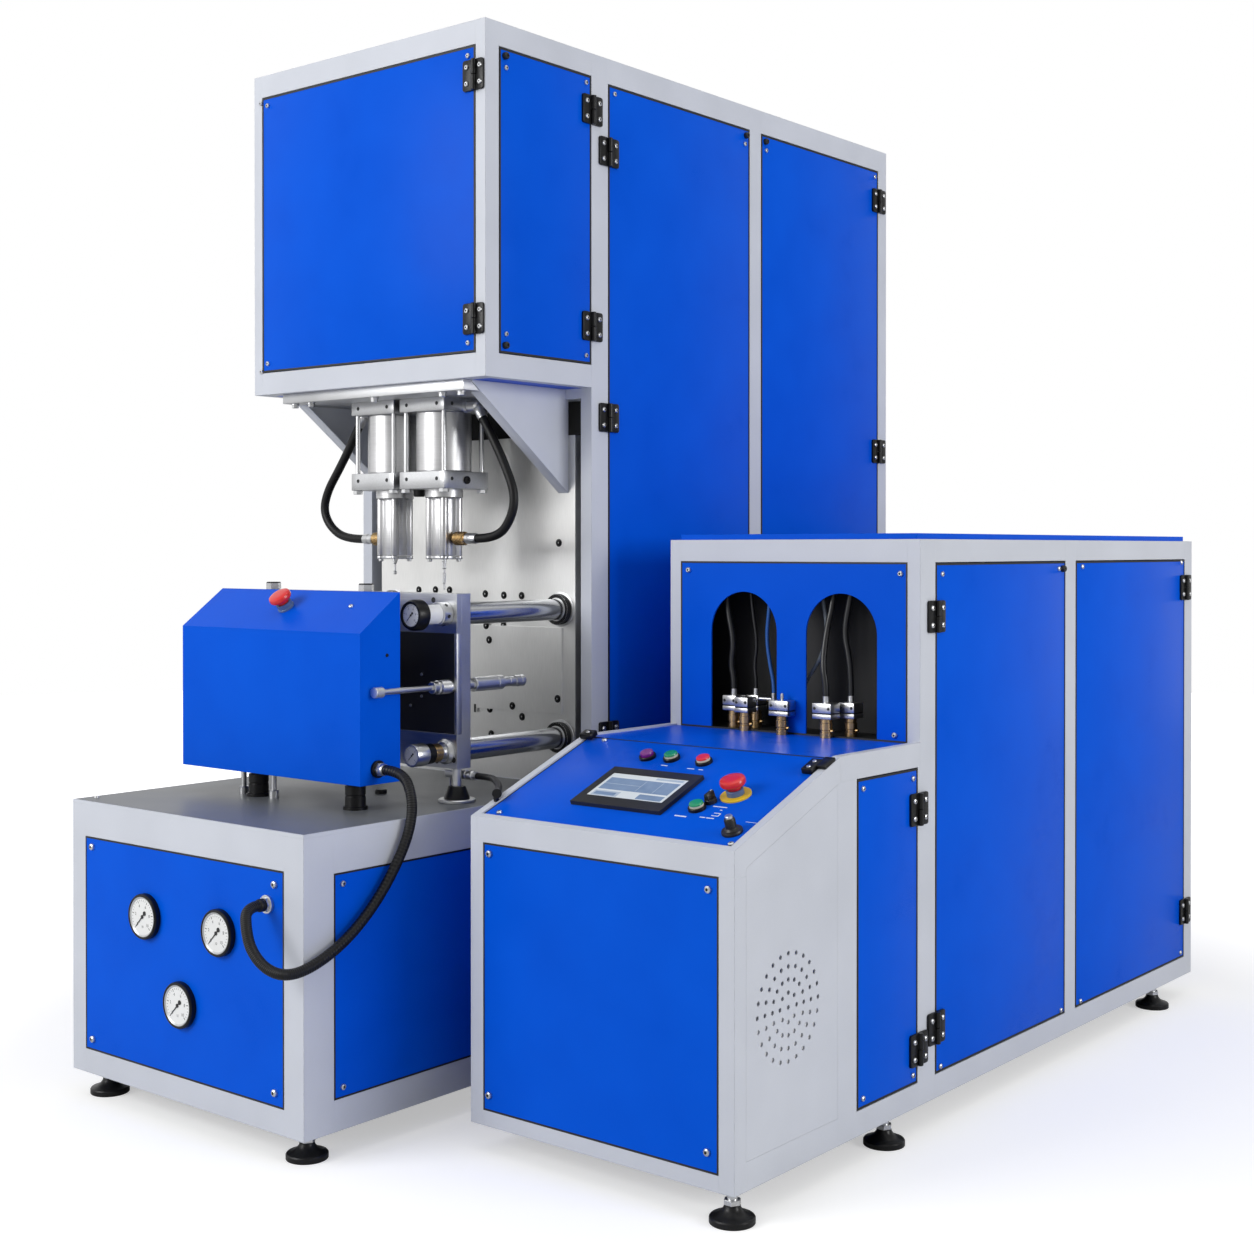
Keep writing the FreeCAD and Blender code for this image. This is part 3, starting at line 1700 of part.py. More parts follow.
selector_grip = lid_block(
    "selector_across - selector_grip / 2",
    "selector_across + selector_grip / 2",
    "selector_up - selector_diameter / 2 + 1",
    "selector_up + selector_diameter / 2 - 1",
    "selector_height / 2",
    "selector_grip_height",
)
selector_disc = on_slope(lid_slope, turned(selector_profile), "selector_across", "selector_up", "running_gap")
node("mode_selector", fuse(selector_disc, selector_grip))
speed_profile = (
    ("0", "0"),
    ("speed_flange / 2", "0"),
    ("speed_flange / 2", "speed_flange_height"),
    ("speed_post / 2", "speed_flange_height"),
    ("speed_post / 2", "speed_post_height"),
    ("speed_cap / 2", "speed_post_height"),
    ("speed_cap / 2", "speed_cap_height"),
    ("0", "speed_cap_height"),
)
node("speed_knob", on_slope(lid_slope, turned(speed_profile), "speed_across", "speed_up", "running_gap"))
node("console_stop_button", on_slope(lid_slope, turned(mushroom_profile), *lid_stop))

# ---------------------------------------------------------------------------- window panel
# The blue sheet above the ledge, with two arched openings that stand on the ledge.
sizes(
    arch_width=143,
    arch_top=248,
    left_arch_across=165,
    right_arch_across=369,
)
window_sheet = block(
    "cabinet_inside_left",
    "cabinet_inside_right",
    "cabinet_front",
    "cabinet_front + panel_sheet",
    "ledge_top",
    "cabinet_door_high",
)
arches = []
for across in ("left_arch_across", "right_arch_across"):
    crown = "ledge_top + arch_top - arch_width / 2"
    centre = f"cabinet_left + {across}"
    through = ("cabinet_front - 1", "cabinet_front + panel_sheet + 1")
    arches.append(
        block(f"{centre} - arch_width / 2", f"{centre} + arch_width / 2", *through, "ledge_top - 1", crown)
    )
    arches.append(rod("y", centre, crown, *through, "arch_width"))
node("window_panel", cut(window_sheet, *arches))

# ---------------------------------------------------------------------------- blow valves
# Six air valves on the ledge and the tray behind it: a round post, a square body and a port on
# top; places are distances from the cabinet's left side and from the window panel's front.
sizes(
    valve_post_height=33,
    valve_body_height=27,
    valve_port_height=12,
    valve_nipple=6,
    valve_nipple_length=14,
    valve_nipple_rise=12,
    left_rear_width=30,
    left_rear_across=128,
    left_rear_back=22,
    left_front_width=29,
    left_front_across=169,
    left_front_back=0,
    left_inner_width=28,
    left_inner_across=155,
    left_inner_back=53,
    pier_width=40,
    pier_depth=26,
    pier_across=258,
    pier_back=-15,
    right_front_width=38,
    right_front_depth=30,
    right_front_across=346,
    right_front_back=-11,
    right_rear_width=31,
    right_rear_across=373,
    right_rear_back=26,
    valve_post=22,
    valve_port=11,
)
valve_shapes = (
    ("left_rear", "left_rear_width", "valve_port_height"),
    ("left_front", "left_front_width", "0"),
    ("left_inner", "left_inner_width", "valve_port_height"),
    ("pier", "pier_depth", "valve_port_height / 2"),
    ("right_front", "right_front_depth", "valve_port_height"),
    ("right_rear", "right_rear_width", "valve_port_height"),
)
valves = []
for name, depth, port_height in valve_shapes:
    x = f"cabinet_left + {name}_across"
    y = f"cabinet_front + {name}_back"
    body_low = "ledge_top + valve_post_height"
    body_high = "ledge_top + valve_post_height + valve_body_height"
    half = f"{name}_width / 2"
    valve = [
        rod("z", x, y, "ledge_top", body_low, "valve_post"),
        block(
            f"{x} - {half}",
            f"{x} + {half}",
            f"{y} - {depth} / 2",
            f"{y} + {depth} / 2",
            body_low,
            body_high,
        ),
        rod(
            "x",
            y,
            "ledge_top + valve_nipple_rise",
            f"{x} + valve_post / 2 - 2",
            f"{x} + valve_post / 2 + valve_nipple_length",
            "valve_nipple",
        ),
    ]
    if port_height != "0":
        valve.append(rod("z", x, y, body_high, f"{body_high} + {port_height}", "valve_port"))
    valves.append(fuse(*valve))

# ---------------------------------------------------------------------------- valve tubes
# Air tubes from the valves up behind the window panel to the tray's ceiling. Two of them start
# at small fittings: one on the inner valve's side, one on the tray behind the pier.
sizes(
    thick_tube=11,
    thin_tube=7,
    branch_diameter=8,
    branch_reach=31,
    branch_drop=18,
    branch_back=44.5,
    branch_cap=10,
    branch_cap_low=22,
    branch_cap_high=6,
    stub_across=270,
    stub_back=32,
    stub_diameter=10,
    stub_height=62,
)
places(
    inner_valve_side="cabinet_left + left_inner_across + left_inner_width / 2",
    port_level="ledge_top + valve_post_height + valve_body_height + valve_port_height",
)
branch_y = "cabinet_front + branch_back"
branch_x = "inner_valve_side + branch_reach"
branch = fuse(
    rod("x", branch_y, "port_level - branch_drop", "inner_valve_side", branch_x, "branch_diameter"),
    rod("z", branch_x, branch_y, "port_level - branch_cap_low", "port_level - branch_cap_high", "branch_cap"),
)
stub = rod(
    "z",
    "cabinet_left + stub_across",
    "cabinet_front + stub_back",
    "ledge_top",
    "ledge_top + stub_height",
    "stub_diameter",
)
node("blow_valves", *valves, branch, stub)
tube_routes = (
    (
        "left_rear_tube",
        "thick_tube",
        [
            (244, -187.5, 718),
            (244, -187.5, 736),
            (237, -187.5, 762),
            (244, -187.5, 802),
            (229, -186, 860),
            (224, -184, 905),
            (224, -184, 945),
        ],
    ),
    (
        "left_inner_tube",
        "thin_tube",
        [
            (271, -156.5, 718),
            (271, -156.5, 736),
            (267, -156.5, 760),
            (274, -156.5, 798),
            (266, -158, 850),
            (260, -160, 905),
            (260, -160, 945),
        ],
    ),
    (
        "branch_tube",
        "thin_tube",
        [
            (316, -165, 712),
            (316, -165, 730),
            (308, -165, 760),
            (301, -167, 811),
            (310, -172, 858),
            (316, -175, 905),
            (316, -175, 945),
        ],
    ),
    (
        "stub_tube",
        "thin_tube",
        [
            (386, -177.5, 708),
            (386, -177.5, 726),
            (403, -179, 750),
            (431, -182.5, 787),
            (440, -182.5, 835),
            (432, -182.5, 878),
            (426, -182.5, 910),
            (426, -182.5, 945),
        ],
    ),
    (
        "right_front_tube",
        "thick_tube",
        [
            (462, -220.5, 718),
            (462, -220.5, 738),
            (454, -219.5, 771),
            (452, -203, 830),
            (455, -190, 870),
            (456, -187, 905),
            (456, -187, 945),
        ],
    ),
    (
        "right_rear_tube",
        "thick_tube",
        [
            (489, -183.5, 718),
            (489, -183.5, 742),
            (486, -183.5, 780),
            (474, -182, 826),
            (483, -180, 876),
            (490, -180, 912),
            (490, -180, 945),
        ],
    ),
)
node("valve_tubes", *[tube(name, diameter, corners) for name, diameter, corners in tube_routes])

# ---------------------------------------------------------------------------- doors
# Seven flush doors. Each closes an opening with a gap all round and hangs on black leaf hinges
# whose pins stand off the outside, with the door's leaf above and the frame's leaf below.
sizes(
    door_thick=18,
    door_gap=3,
    hinge_height=54,
    hinge_lift=5.5,
    hinge_reach=28,
    hinge_short_reach=21,
    leaf_thick=4.5,
    knuckle=10,
    tower_front_top_drop=129,
    tower_front_middle_shift=12,
    tower_front_low_rise=54,
    tower_rear_top_drop=70,
    tower_rear_middle_shift=-9,
    tower_rear_low_rise=54,
    head_front_top_drop=54,
    head_front_low_rise=59,
    head_side_top_drop=64,
    head_side_low_rise=71,
    cabinet_front_top_drop=91,
    cabinet_front_low_rise=80,
    cabinet_rear_top_drop=61,
    cabinet_rear_low_rise=100,
    console_top_drop=69,
    console_low_rise=57,
)
places(tower_door_middle="(tower_door_low + tower_door_high) / 2")
frame_leaves = []
TO_BACK = 90
TO_FRONT = -90
TO_LEFT = 180


def hinge_leaf(outward, upper, reach):
    """A leaf in its own frame: pin on the Z axis, plate along +X, face to local +Y or -Y."""
    y1, y2 = ("-hinge_lift", "leaf_thick - hinge_lift")
    if outward == "-y":
        y1, y2 = ("hinge_lift - leaf_thick", "hinge_lift")
    z1, z2 = ("-hinge_height / 2", "-running_gap / 2")
    if upper:
        z1, z2 = ("running_gap / 2", "hinge_height / 2")
    plate = block("knuckle / 2 + running_gap", reach, y1, y2, "-hinge_height / 2", "hinge_height / 2")
    web = block("0", "knuckle / 2 + running_gap", y1, y2, z1, z2)
    pin = rod("z", "0", "0", z1, z2, "knuckle")
    return fuse(plate, web, pin)


def hang(x, y, heights, door_heading, reach="hinge_reach"):
    """Both leaves of each hinge at one door's edge; gives the door its own leaves."""
    side = {TO_BACK: ("-y", "+y"), TO_FRONT: ("+y", "-y"), TO_LEFT: ("+y", "-y")}[door_heading]
    upright = FreeCAD.Vector(0, 0, 1)
    leaves = []
    for z in heights:
        door_leaf = hinge_leaf(side[0], True, "hinge_reach")
        frame_leaf = hinge_leaf(side[1], False, reach)
        leaves.append(stand(door_leaf, x, y, z, FreeCAD.Rotation(upright, door_heading)))
        frame_leaves.append(stand(frame_leaf, x, y, z, FreeCAD.Rotation(upright, door_heading + 180)))
    return leaves


def side_door(label, face, y1, y2, z1, z2, hinge_y, heights, heading):
    """A door in a right-hand wall; face is the wall's outside."""
    slab = block(
        f"{face} - door_thick",
        face,
        f"{y1} + door_gap",
        f"{y2} - door_gap",
        f"{z1} + door_gap",
        f"{z2} - door_gap",
    )
    node(label, slab, *hang(f"{face} + hinge_lift", hinge_y, heights, heading))


side_door(
    "tower_front_door",
    "tower_right",
    "tower_bay_front",
    "tower_middle_front",
    "tower_door_low",
    "tower_door_high",
    "tower_bay_front",
    (
        "tower_door_high - tower_front_top_drop",
        "tower_door_middle + tower_front_middle_shift",
        "tower_door_low + tower_front_low_rise",
    ),
    TO_BACK,
)
side_door(
    "tower_rear_door",
    "tower_right",
    "tower_middle_back",
    "tower_bay_back",
    "tower_door_low",
    "tower_door_high",
    "tower_bay_back",
    (
        "tower_door_high - tower_rear_top_drop",
        "tower_door_middle + tower_rear_middle_shift",
        "tower_door_low + tower_rear_low_rise",
    ),
    TO_FRONT,
)
side_door(
    "head_side_door",
    "tower_right",
    "head_post_back",
    "tower_front",
    "head_door_low",
    "head_door_high",
    "tower_front",
    ("head_door_high - head_side_top_drop", "head_door_low + head_side_low_rise"),
    TO_FRONT,
)
side_door(
    "cabinet_front_door",
    "cabinet_right",
    "cabinet_bay_front",
    "cabinet_middle_front",
    "cabinet_door_low",
    "cabinet_door_high",
    "cabinet_bay_front",
    ("cabinet_door_high - cabinet_front_top_drop", "cabinet_door_low + cabinet_front_low_rise"),
    TO_BACK,
)
side_door(
    "cabinet_rear_door",
    "cabinet_right",
    "cabinet_middle_back",
    "cabinet_bay_back",
    "cabinet_door_low",
    "cabinet_door_high",
    "cabinet_bay_back",
    ("cabinet_door_high - cabinet_rear_top_drop", "cabinet_door_low + cabinet_rear_low_rise"),
    TO_FRONT,
)
side_door(
    "console_door",
    "cabinet_right",
    "door_bay_front",
    "door_bay_back",
    "console_door_low",
    "ledge_under",
    "door_bay_back",
    ("ledge_under - console_top_drop", "console_door_low + console_low_rise"),
    TO_FRONT,
)
head_slab = block(
    "head_inside_left + door_gap",
    "head_inside_right - door_gap",
    "head_front",
    "head_front + door_thick",
    "head_door_low + door_gap",
    "head_door_high - door_gap",
)
head_leaves = hang(
    "head_inside_right",
    "head_front - hinge_lift",
    ("head_door_high - head_front_top_drop", "head_door_low + head_front_low_rise"),
    TO_LEFT,
    "hinge_short_reach",
)
node("head_front_door", head_slab, *head_leaves)
node("frame_hinge_leaves", *frame_leaves)

# ---------------------------------------------------------------------------- door catches
# A small quarter-turn knob near a corner of five of the side doors.
sizes(
    catch_diameter=13,
    catch_length=8,
    catch_inset=12,
)
catch_profile = (
    ("0", "0"),
    ("catch_diameter / 2", "0"),
    ("catch_diameter / 2", "catch_length"),
    ("0", "catch_length"),
)
for name, face, y, z in (
    (
        "tower_front_catch",
        "tower_right",
        "tower_middle_front - door_gap - catch_inset",
        "tower_door_high - door_gap - catch_inset",
    ),
    (
        "tower_rear_catch",
        "tower_right",
        "tower_middle_back + door_gap + catch_inset",
        "tower_door_high - door_gap - catch_inset",
    ),
    (
        "cabinet_front_catch",
        "cabinet_right",
        "cabinet_middle_front - door_gap - catch_inset",
        "cabinet_door_high - door_gap - catch_inset",
    ),
    (
        "head_side_catch_high",
        "tower_right",
        "head_post_back + door_gap + catch_inset",
        "head_door_high - door_gap - catch_inset",
    ),
    (
        "head_side_catch_low",
        "tower_right",
        "head_post_back + door_gap + catch_inset",
        "head_door_low + door_gap + catch_inset",
    ),
):
    node(name, put(turned(catch_profile), face, y, z, "x"))

# ---------------------------------------------------------------------------- levelling feet
# Black pads with a domed top, a silver lock nut and a stem under each corner and, below the
# cabinet, under each middle post. The console's left front foot stands further back.
sizes(
    pad_diameter=68,
    pad_height=10,
    pad_crown=24,
    pad_crown_height=26,
    lock_nut=24,
    lock_nut_height=34,
    foot_stem=16,
    base_foot_inset=45,
    cabinet_foot_inset=18,
    cabinet_foot_front=20,
    cabinet_foot_left_front=180,
    cabinet_foot_middle=443,
    cabinet_foot_back=169,
)
foot_profile = (
    ("0", "0"),
    ("pad_diameter / 2", "0"),
    ("pad_diameter / 2", "pad_height"),
    ("pad_crown / 2", "pad_crown_height"),
    ("lock_nut / 2", "lock_nut_height"),
    ("foot_stem / 2", "lock_nut_height"),
    ("foot_stem / 2", "foot_height"),
    ("0", "foot_height"),
)
foot_places = []
for x in ("tower_left + base_foot_inset", "tower_right - base_foot_inset"):
    for y in ("base_front + base_foot_inset", "tower_rear - base_foot_inset"):
        foot_places.append((x, y))
for x, front in (
    ("cabinet_left + cabinet_foot_inset", "cabinet_foot_left_front"),
    ("cabinet_right - cabinet_foot_inset", "cabinet_foot_front"),
):
    for y in (
        f"console_front + {front}",
        "console_front + cabinet_foot_middle",
        "cabinet_rear - cabinet_foot_back",
    ):
        foot_places.append((x, y))
node("levelling_feet", *[put(turned(foot_profile), x, y, "0") for x, y in foot_places])

# ---------------------------------------------------------------------------- checks and files
doc.recompute()
for item in doc.Objects:
    if "Invalid" in item.State or "Error" in item.State:
        raise RuntimeError(f"{item.Label} did not compute: {item.State}")
for piece in nodes:
    if piece.Shape.isNull() or not piece.Shape.isValid():
        raise RuntimeError(f"{piece.Label} has no valid shape")
os.makedirs("parts", exist_ok=True)
for piece in nodes:
    piece.Shape.exportStep(f"parts/{piece.Label}.step")
print(len(nodes), "sub-parts")
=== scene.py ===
import math

import bmesh
import bpy
from mathutils import Matrix, Vector


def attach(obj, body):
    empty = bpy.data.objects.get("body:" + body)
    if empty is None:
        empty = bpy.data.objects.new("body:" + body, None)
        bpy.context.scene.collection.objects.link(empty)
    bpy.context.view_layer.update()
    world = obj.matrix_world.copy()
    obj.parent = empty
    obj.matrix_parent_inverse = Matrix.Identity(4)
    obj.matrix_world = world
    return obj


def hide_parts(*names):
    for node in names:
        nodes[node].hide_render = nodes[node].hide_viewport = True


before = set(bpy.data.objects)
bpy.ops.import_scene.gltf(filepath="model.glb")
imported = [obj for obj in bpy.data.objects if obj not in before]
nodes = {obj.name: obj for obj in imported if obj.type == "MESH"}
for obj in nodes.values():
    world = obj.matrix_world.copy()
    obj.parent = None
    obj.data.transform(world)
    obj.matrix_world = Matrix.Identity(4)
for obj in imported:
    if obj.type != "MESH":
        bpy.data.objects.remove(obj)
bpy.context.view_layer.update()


# -------- camera
# A level view of the machine's front right corner, about three and a half metres from its
# middle, through a long lens.


def placed(name, data):
    thing = bpy.data.objects.new(name, data)
    bpy.context.scene.collection.objects.link(thing)
    return thing


lens = bpy.data.cameras.new("camera")
lens.lens = 49.87
lens.shift_y = -0.0529
camera = placed("camera", lens)
camera.location = (2.0819, -2.7486, 0.9712)
camera.rotation_euler = (math.radians(89.6), 0, math.radians(39.19))
bpy.context.scene.camera = camera
bpy.context.scene.view_settings.view_transform = "Standard"


# -------- hoses and tubes
# Two black air hoses hang from the blow cylinders' elbows to their nozzles, a ribbed cable
# conduit loops from the clamp housing to the base's front, and a thin air hose crosses from the
# deck to the console's rail. Six air tubes rise from the valves behind the arched windows.


def tone(red, green, blue):
    """A colour given in display bytes, as the shader's linear values."""
    linear = []
    for value in (red, green, blue):
        level = value / 255
        linear.append(level / 12.92 if level <= 0.04045 else ((level + 0.055) / 1.055) ** 2.4)
    return (*linear, 1)


def wired(tree, kind, sockets, output=0, **settings):
    """The output of a shader node whose sockets take values, or the outputs of other nodes."""
    node = tree.nodes.new("ShaderNode" + kind)
    for key, value in settings.items():
        setattr(node, key, value)
    for key, value in sockets.items():
        if isinstance(value, bpy.types.NodeSocket):
            tree.links.new(value, node.inputs[key])
        else:
            node.inputs[key].default_value = value
    return node.outputs[output]


def shades(tree, share, stops, style="LINEAR"):
    """The output of a colour ramp with (position, colour) stops."""
    ramp = tree.nodes.new("ShaderNodeValToRGB")
    ramp.color_ramp.interpolation = style
    elements = ramp.color_ramp.elements
    while len(elements) < len(stops):
        elements.new(0.5)
    for element, (position, colour) in zip(elements, stops):
        element.position = position
        element.color = colour
    tree.links.new(share, ramp.inputs["Fac"])
    return ramp.outputs["Color"]


def finish(name, colour, other, roughness, grain=900, stretch=(1, 1, 1), relief=0.1, edge=0, **plain):
    """A material of two tones in a fine grain, with uneven gloss, relief and softened edges.

    The tones are display bytes, the grain is per metre, and the edge's radius is in millimetres.
    """
    patches, patch_share, relief_depth = 7, 0.6, 0.0004
    material = bpy.data.materials.new(name)
    material.use_nodes = True
    tree = material.node_tree
    surface = tree.nodes["Principled BSDF"].inputs
    for key, value in plain.items():
        surface[key.replace("_", " ")].default_value = value
    place = wired(tree, "TexCoord", {}, "Object")
    scaled = wired(tree, "Mapping", {"Vector": place, "Scale": stretch})
    fine = wired(tree, "TexNoise", {"Vector": scaled, "Scale": grain, "Detail": 4})
    broad = wired(tree, "TexNoise", {"Vector": place, "Scale": patches})
    mixed = wired(tree, "Mix", {0: patch_share, 2: fine, 3: broad})
    stops = ((0.36, tone(*colour)), (0.64, tone(*other)))
    tree.links.new(shades(tree, mixed, stops), surface["Base Color"])
    uneven = {"From Min": 0.3, "From Max": 0.7, "To Min": roughness * 0.85, "To Max": roughness * 1.2}
    tree.links.new(wired(tree, "MapRange", {"Value": mixed, **uneven}), surface["Roughness"])
    bumpy = {"Height": fine, "Strength": relief, "Distance": relief_depth}
    if edge:
        bumpy["Normal"] = wired(tree, "Bevel", {"Radius": edge / 1000})
    tree.links.new(wired(tree, "Bump", bumpy), surface["Normal"])
    return material


def ribs(material, pitch, strength, depth):
    """Cuts fine rings into a hose's material, along the hose."""
    tree = material.node_tree
    grain = next(n for n in tree.nodes if n.bl_idname == "ShaderNodeBump").outputs["Normal"]
    along = wired(tree, "SeparateXYZ", {"Vector": wired(tree, "TexCoord", {}, "UV")})
    turns = wired(tree, "Math", {0: along, 1: pitch}, operation="MULTIPLY")
    wave = wired(tree, "Math", {0: turns}, operation="SINE")
    cut = {"Height": wave, "Normal": grain, "Strength": strength, "Distance": depth}
    tree.links.new(wired(tree, "Bump", cut), tree.nodes["Principled BSDF"].inputs["Normal"])


rubber = finish("hose_rubber", (9, 9, 10), (17, 17, 19), 0.42, Specular_IOR_Level=0.25)
ribbed = finish("conduit_rubber", (9, 9, 10), (18, 18, 20), 0.4, 700, Specular_IOR_Level=0.3)
ribs(ribbed, 900, 0.55, 0.0006)
black_tube = finish("tube_black", (16, 17, 19), (30, 31, 34), 0.3, 300, relief=0.03)
blue_tube = finish("tube_blue", (30, 84, 160), (44, 104, 180), 0.3, 300, relief=0.03)
clear_tube = finish("tube_smoke", (96, 104, 110), (120, 128, 134), 0.25, 300, relief=0.03)

hoses = (
    ("hose_right", "cylinder_hose_right", 0.0167, 0.307, "hanging", rubber, (
        (-0.15784, -0.4235, 1.21279), (-0.1287, -0.4235, 1.1696), (-0.101, -0.4235, 1.122),
        (-0.077, -0.4235, 1.072), (-0.084, -0.4235, 1.029), (-0.12, -0.4235, 0.99),
        (-0.173, -0.4235, 0.99),
    )),
    ("hose_left", "cylinder_hose_left", 0.0167, 0.34, "hanging", rubber, (
        (-0.49516, -0.4235, 1.21279), (-0.5254, -0.4235, 1.168), (-0.5564, -0.4235, 1.127),
        (-0.589, -0.4235, 1.087), (-0.602, -0.4235, 1.048), (-0.58, -0.4235, 1.013),
        (-0.534, -0.4235, 0.99), (-0.48, -0.4235, 0.99),
    )),
    ("cable_conduit", "conduit", 0.0175, 0.635, "hanging", ribbed, (
        (-0.076, -0.7445, 0.599), (-0.034, -0.7445, 0.599), (-0.006, -0.7505, 0.566),
        (0.001, -0.7565, 0.524), (0.001, -0.778, 0.474), (0.001, -0.826, 0.411), (0.002, -0.882, 0.363),
        (0.003, -0.938, 0.333), (0, -0.99, 0.316), (-0.012, -1.021, 0.315), (-0.037, -1.0345, 0.327),
        (-0.062, -1.039, 0.351), (-0.08, -1.034, 0.38), (-0.1, -1.0185, 0.407), (-0.1, -0.9945, 0.407),
    )),
    ("link_air_hose", "link_hose", 0.0115, 0.226, "taut", rubber, (
        (-0.052, -0.5485, 0.571), (-0.017, -0.5485, 0.571), (0.022, -0.58, 0.573),
        (0.078, -0.628, 0.572), (0.122, -0.6805, 0.572),
    )),
    ("tube_left_rear", "valve_tubes", 0.011, 0.23, "loose", black_tube, (
        (0.244, -0.1875, 0.718), (0.244, -0.1875, 0.736), (0.237, -0.1875, 0.762),
        (0.244, -0.1875, 0.802), (0.229, -0.186, 0.86), (0.224, -0.184, 0.905), (0.224, -0.184, 0.945),
    )),
    ("tube_left_inner", "valve_tubes", 0.007, 0.228, "loose", black_tube, (
        (0.271, -0.1565, 0.718), (0.271, -0.1565, 0.736), (0.267, -0.1565, 0.76),
        (0.274, -0.1565, 0.798), (0.266, -0.158, 0.85), (0.26, -0.16, 0.905), (0.26, -0.16, 0.945),
    )),
    ("tube_branch", "valve_tubes", 0.007, 0.236, "loose", blue_tube, (
        (0.316, -0.165, 0.712), (0.316, -0.165, 0.73), (0.308, -0.165, 0.76), (0.301, -0.167, 0.811),
        (0.31, -0.172, 0.858), (0.316, -0.175, 0.905), (0.316, -0.175, 0.945),
    )),
    ("tube_stub", "valve_tubes", 0.007, 0.251, "loose", clear_tube, (
        (0.386, -0.1775, 0.708), (0.386, -0.1775, 0.726), (0.403, -0.179, 0.75),
        (0.431, -0.1825, 0.787), (0.44, -0.1825, 0.835), (0.432, -0.1825, 0.878),
        (0.426, -0.1825, 0.91), (0.426, -0.1825, 0.945),
    )),
    ("tube_right_front", "valve_tubes", 0.011, 0.232, "loose", black_tube, (
        (0.462, -0.2205, 0.718), (0.462, -0.2205, 0.738), (0.454, -0.2195, 0.771),
        (0.452, -0.203, 0.83), (0.455, -0.19, 0.87), (0.456, -0.187, 0.905), (0.456, -0.187, 0.945),
    )),
    ("tube_right_rear", "valve_tubes", 0.011, 0.229, "loose", black_tube, (
        (0.489, -0.1835, 0.718), (0.489, -0.1835, 0.742), (0.486, -0.1835, 0.78),
        (0.474, -0.182, 0.826), (0.483, -0.18, 0.876), (0.49, -0.18, 0.912), (0.49, -0.18, 0.945),
    )),
)
for name, node, diameter, length, lay, material, route in hoses:
    curve = bpy.data.curves.new(name, "CURVE")
    curve.dimensions = "3D"
    curve.bevel_depth = diameter / 2
    curve.bevel_resolution = 6
    curve.resolution_u = 16
    spline = curve.splines.new("NURBS")
    spline.points.add(len(route) - 1)
    for point, place in zip(spline.points, route):
        point.co = (*place, 1)
    spline.order_u = 3
    spline.use_endpoint_u = True
    curve.materials.append(material)
    hose = placed(name, curve)
    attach(hose, "root")
    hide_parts(node)


# -------- floor and light
# A white studio floor that runs out into a white background, a soft key light from the left,
# a fill from the right, a top light and an even surround.
floor_mesh = bpy.data.meshes.new("floor")
floor_shape = bmesh.new()
bmesh.ops.create_circle(floor_shape, cap_ends=True, segments=96, radius=9)
floor_shape.to_mesh(floor_mesh)
floor_shape.free()
placed("floor", floor_mesh)
paper = bpy.data.materials.new("floor_paper")
paper.use_nodes = True
floor_mesh.materials.append(paper)
paper_tree = paper.node_tree
sheet = paper_tree.nodes["Principled BSDF"].inputs
for key, value in (
    ("Base Color", (0.7, 0.7, 0.69, 1)),
    ("Roughness", 0.9),
    ("Specular IOR Level", 0.1),
    ("Emission Color", (1, 1, 1, 1)),
):
    sheet[key].default_value = value
near, far, near_glow = 1.3, 2.6, 0.45
spot = wired(paper_tree, "TexCoord", {}, "Object")
reach = wired(paper_tree, "VectorMath", {0: spot}, "Value", operation="LENGTH")
fading = {"Value": reach, "From Min": near, "From Max": far, "To Min": near_glow}
seen = {0: wired(paper_tree, "LightPath", {}, "Is Camera Ray"), 1: wired(paper_tree, "MapRange", fading)}
paper_tree.links.new(wired(paper_tree, "Math", seen, operation="MULTIPLY"), sheet["Emission Strength"])

world = bpy.data.worlds.new("studio")
world.use_nodes = True
bpy.context.scene.world = world
sky = world.node_tree
surround = sky.nodes["Background"].inputs
surround["Strength"].default_value = 1
watched = wired(sky, "LightPath", {}, "Is Camera Ray")
mirrored = wired(sky, "LightPath", {}, "Is Glossy Ray")
through = wired(sky, "LightPath", {}, "Is Transmission Ray")
backdrop = wired(sky, "Math", {0: watched, 1: through}, operation="MAXIMUM")
heading = wired(sky, "TexCoord", {}, "Generated")
levels = []
for axis, style, warmth, stops in (
    ("Z", "B_SPLINE", 1.01, ((0, 0.5), (0.45, 0.52), (0.58, 0.42), (0.75, 0.46), (1, 0.5))),
    ("X", "EASE", 1, (
        (0, 1), (0.22, 0.95), (0.32, 0.3), (0.4, 1), (0.56, 1), (0.64, 0.25), (0.7, 0.8), (0.78, 0.4),
        (1, 0.5),
    )),
):
    side = wired(sky, "SeparateXYZ", {"Vector": heading}, axis)
    share = wired(sky, "MapRange", {"Value": side, "From Min": -1})
    greys = [(at, (level, level, level * warmth, 1)) for at, level in stops]
    levels.append(shades(sky, share, greys, style))
lit = wired(sky, "Mix", {0: mirrored, 6: levels[0], 7: levels[1]}, 2, data_type="RGBA")
choice = wired(sky, "Mix", {0: backdrop, 6: lit, 7: (1, 1, 1, 1)}, 2, data_type="RGBA")
sky.links.new(choice, surround["Color"])

for name, place, aim, size, power in (
    ("key_light", (-1.8, -4.8, 2.6), (0, -0.2, 0.9), 2.6, 135),
    ("fill_light", (6.2, 0.6, 2.2), (0.2, 0, 0.9), 2.4, 150),
    ("top_light", (0.6, -0.8, 4.4), (0, 0, 0), 3.2, 22),
):
    lamp = bpy.data.lights.new(name, "AREA")
    lamp.size = size
    lamp.energy = power
    light = placed(name, lamp)
    light.location = place
    light.rotation_euler = (Vector(aim) - Vector(place)).to_track_quat("-Z", "Y").to_euler()


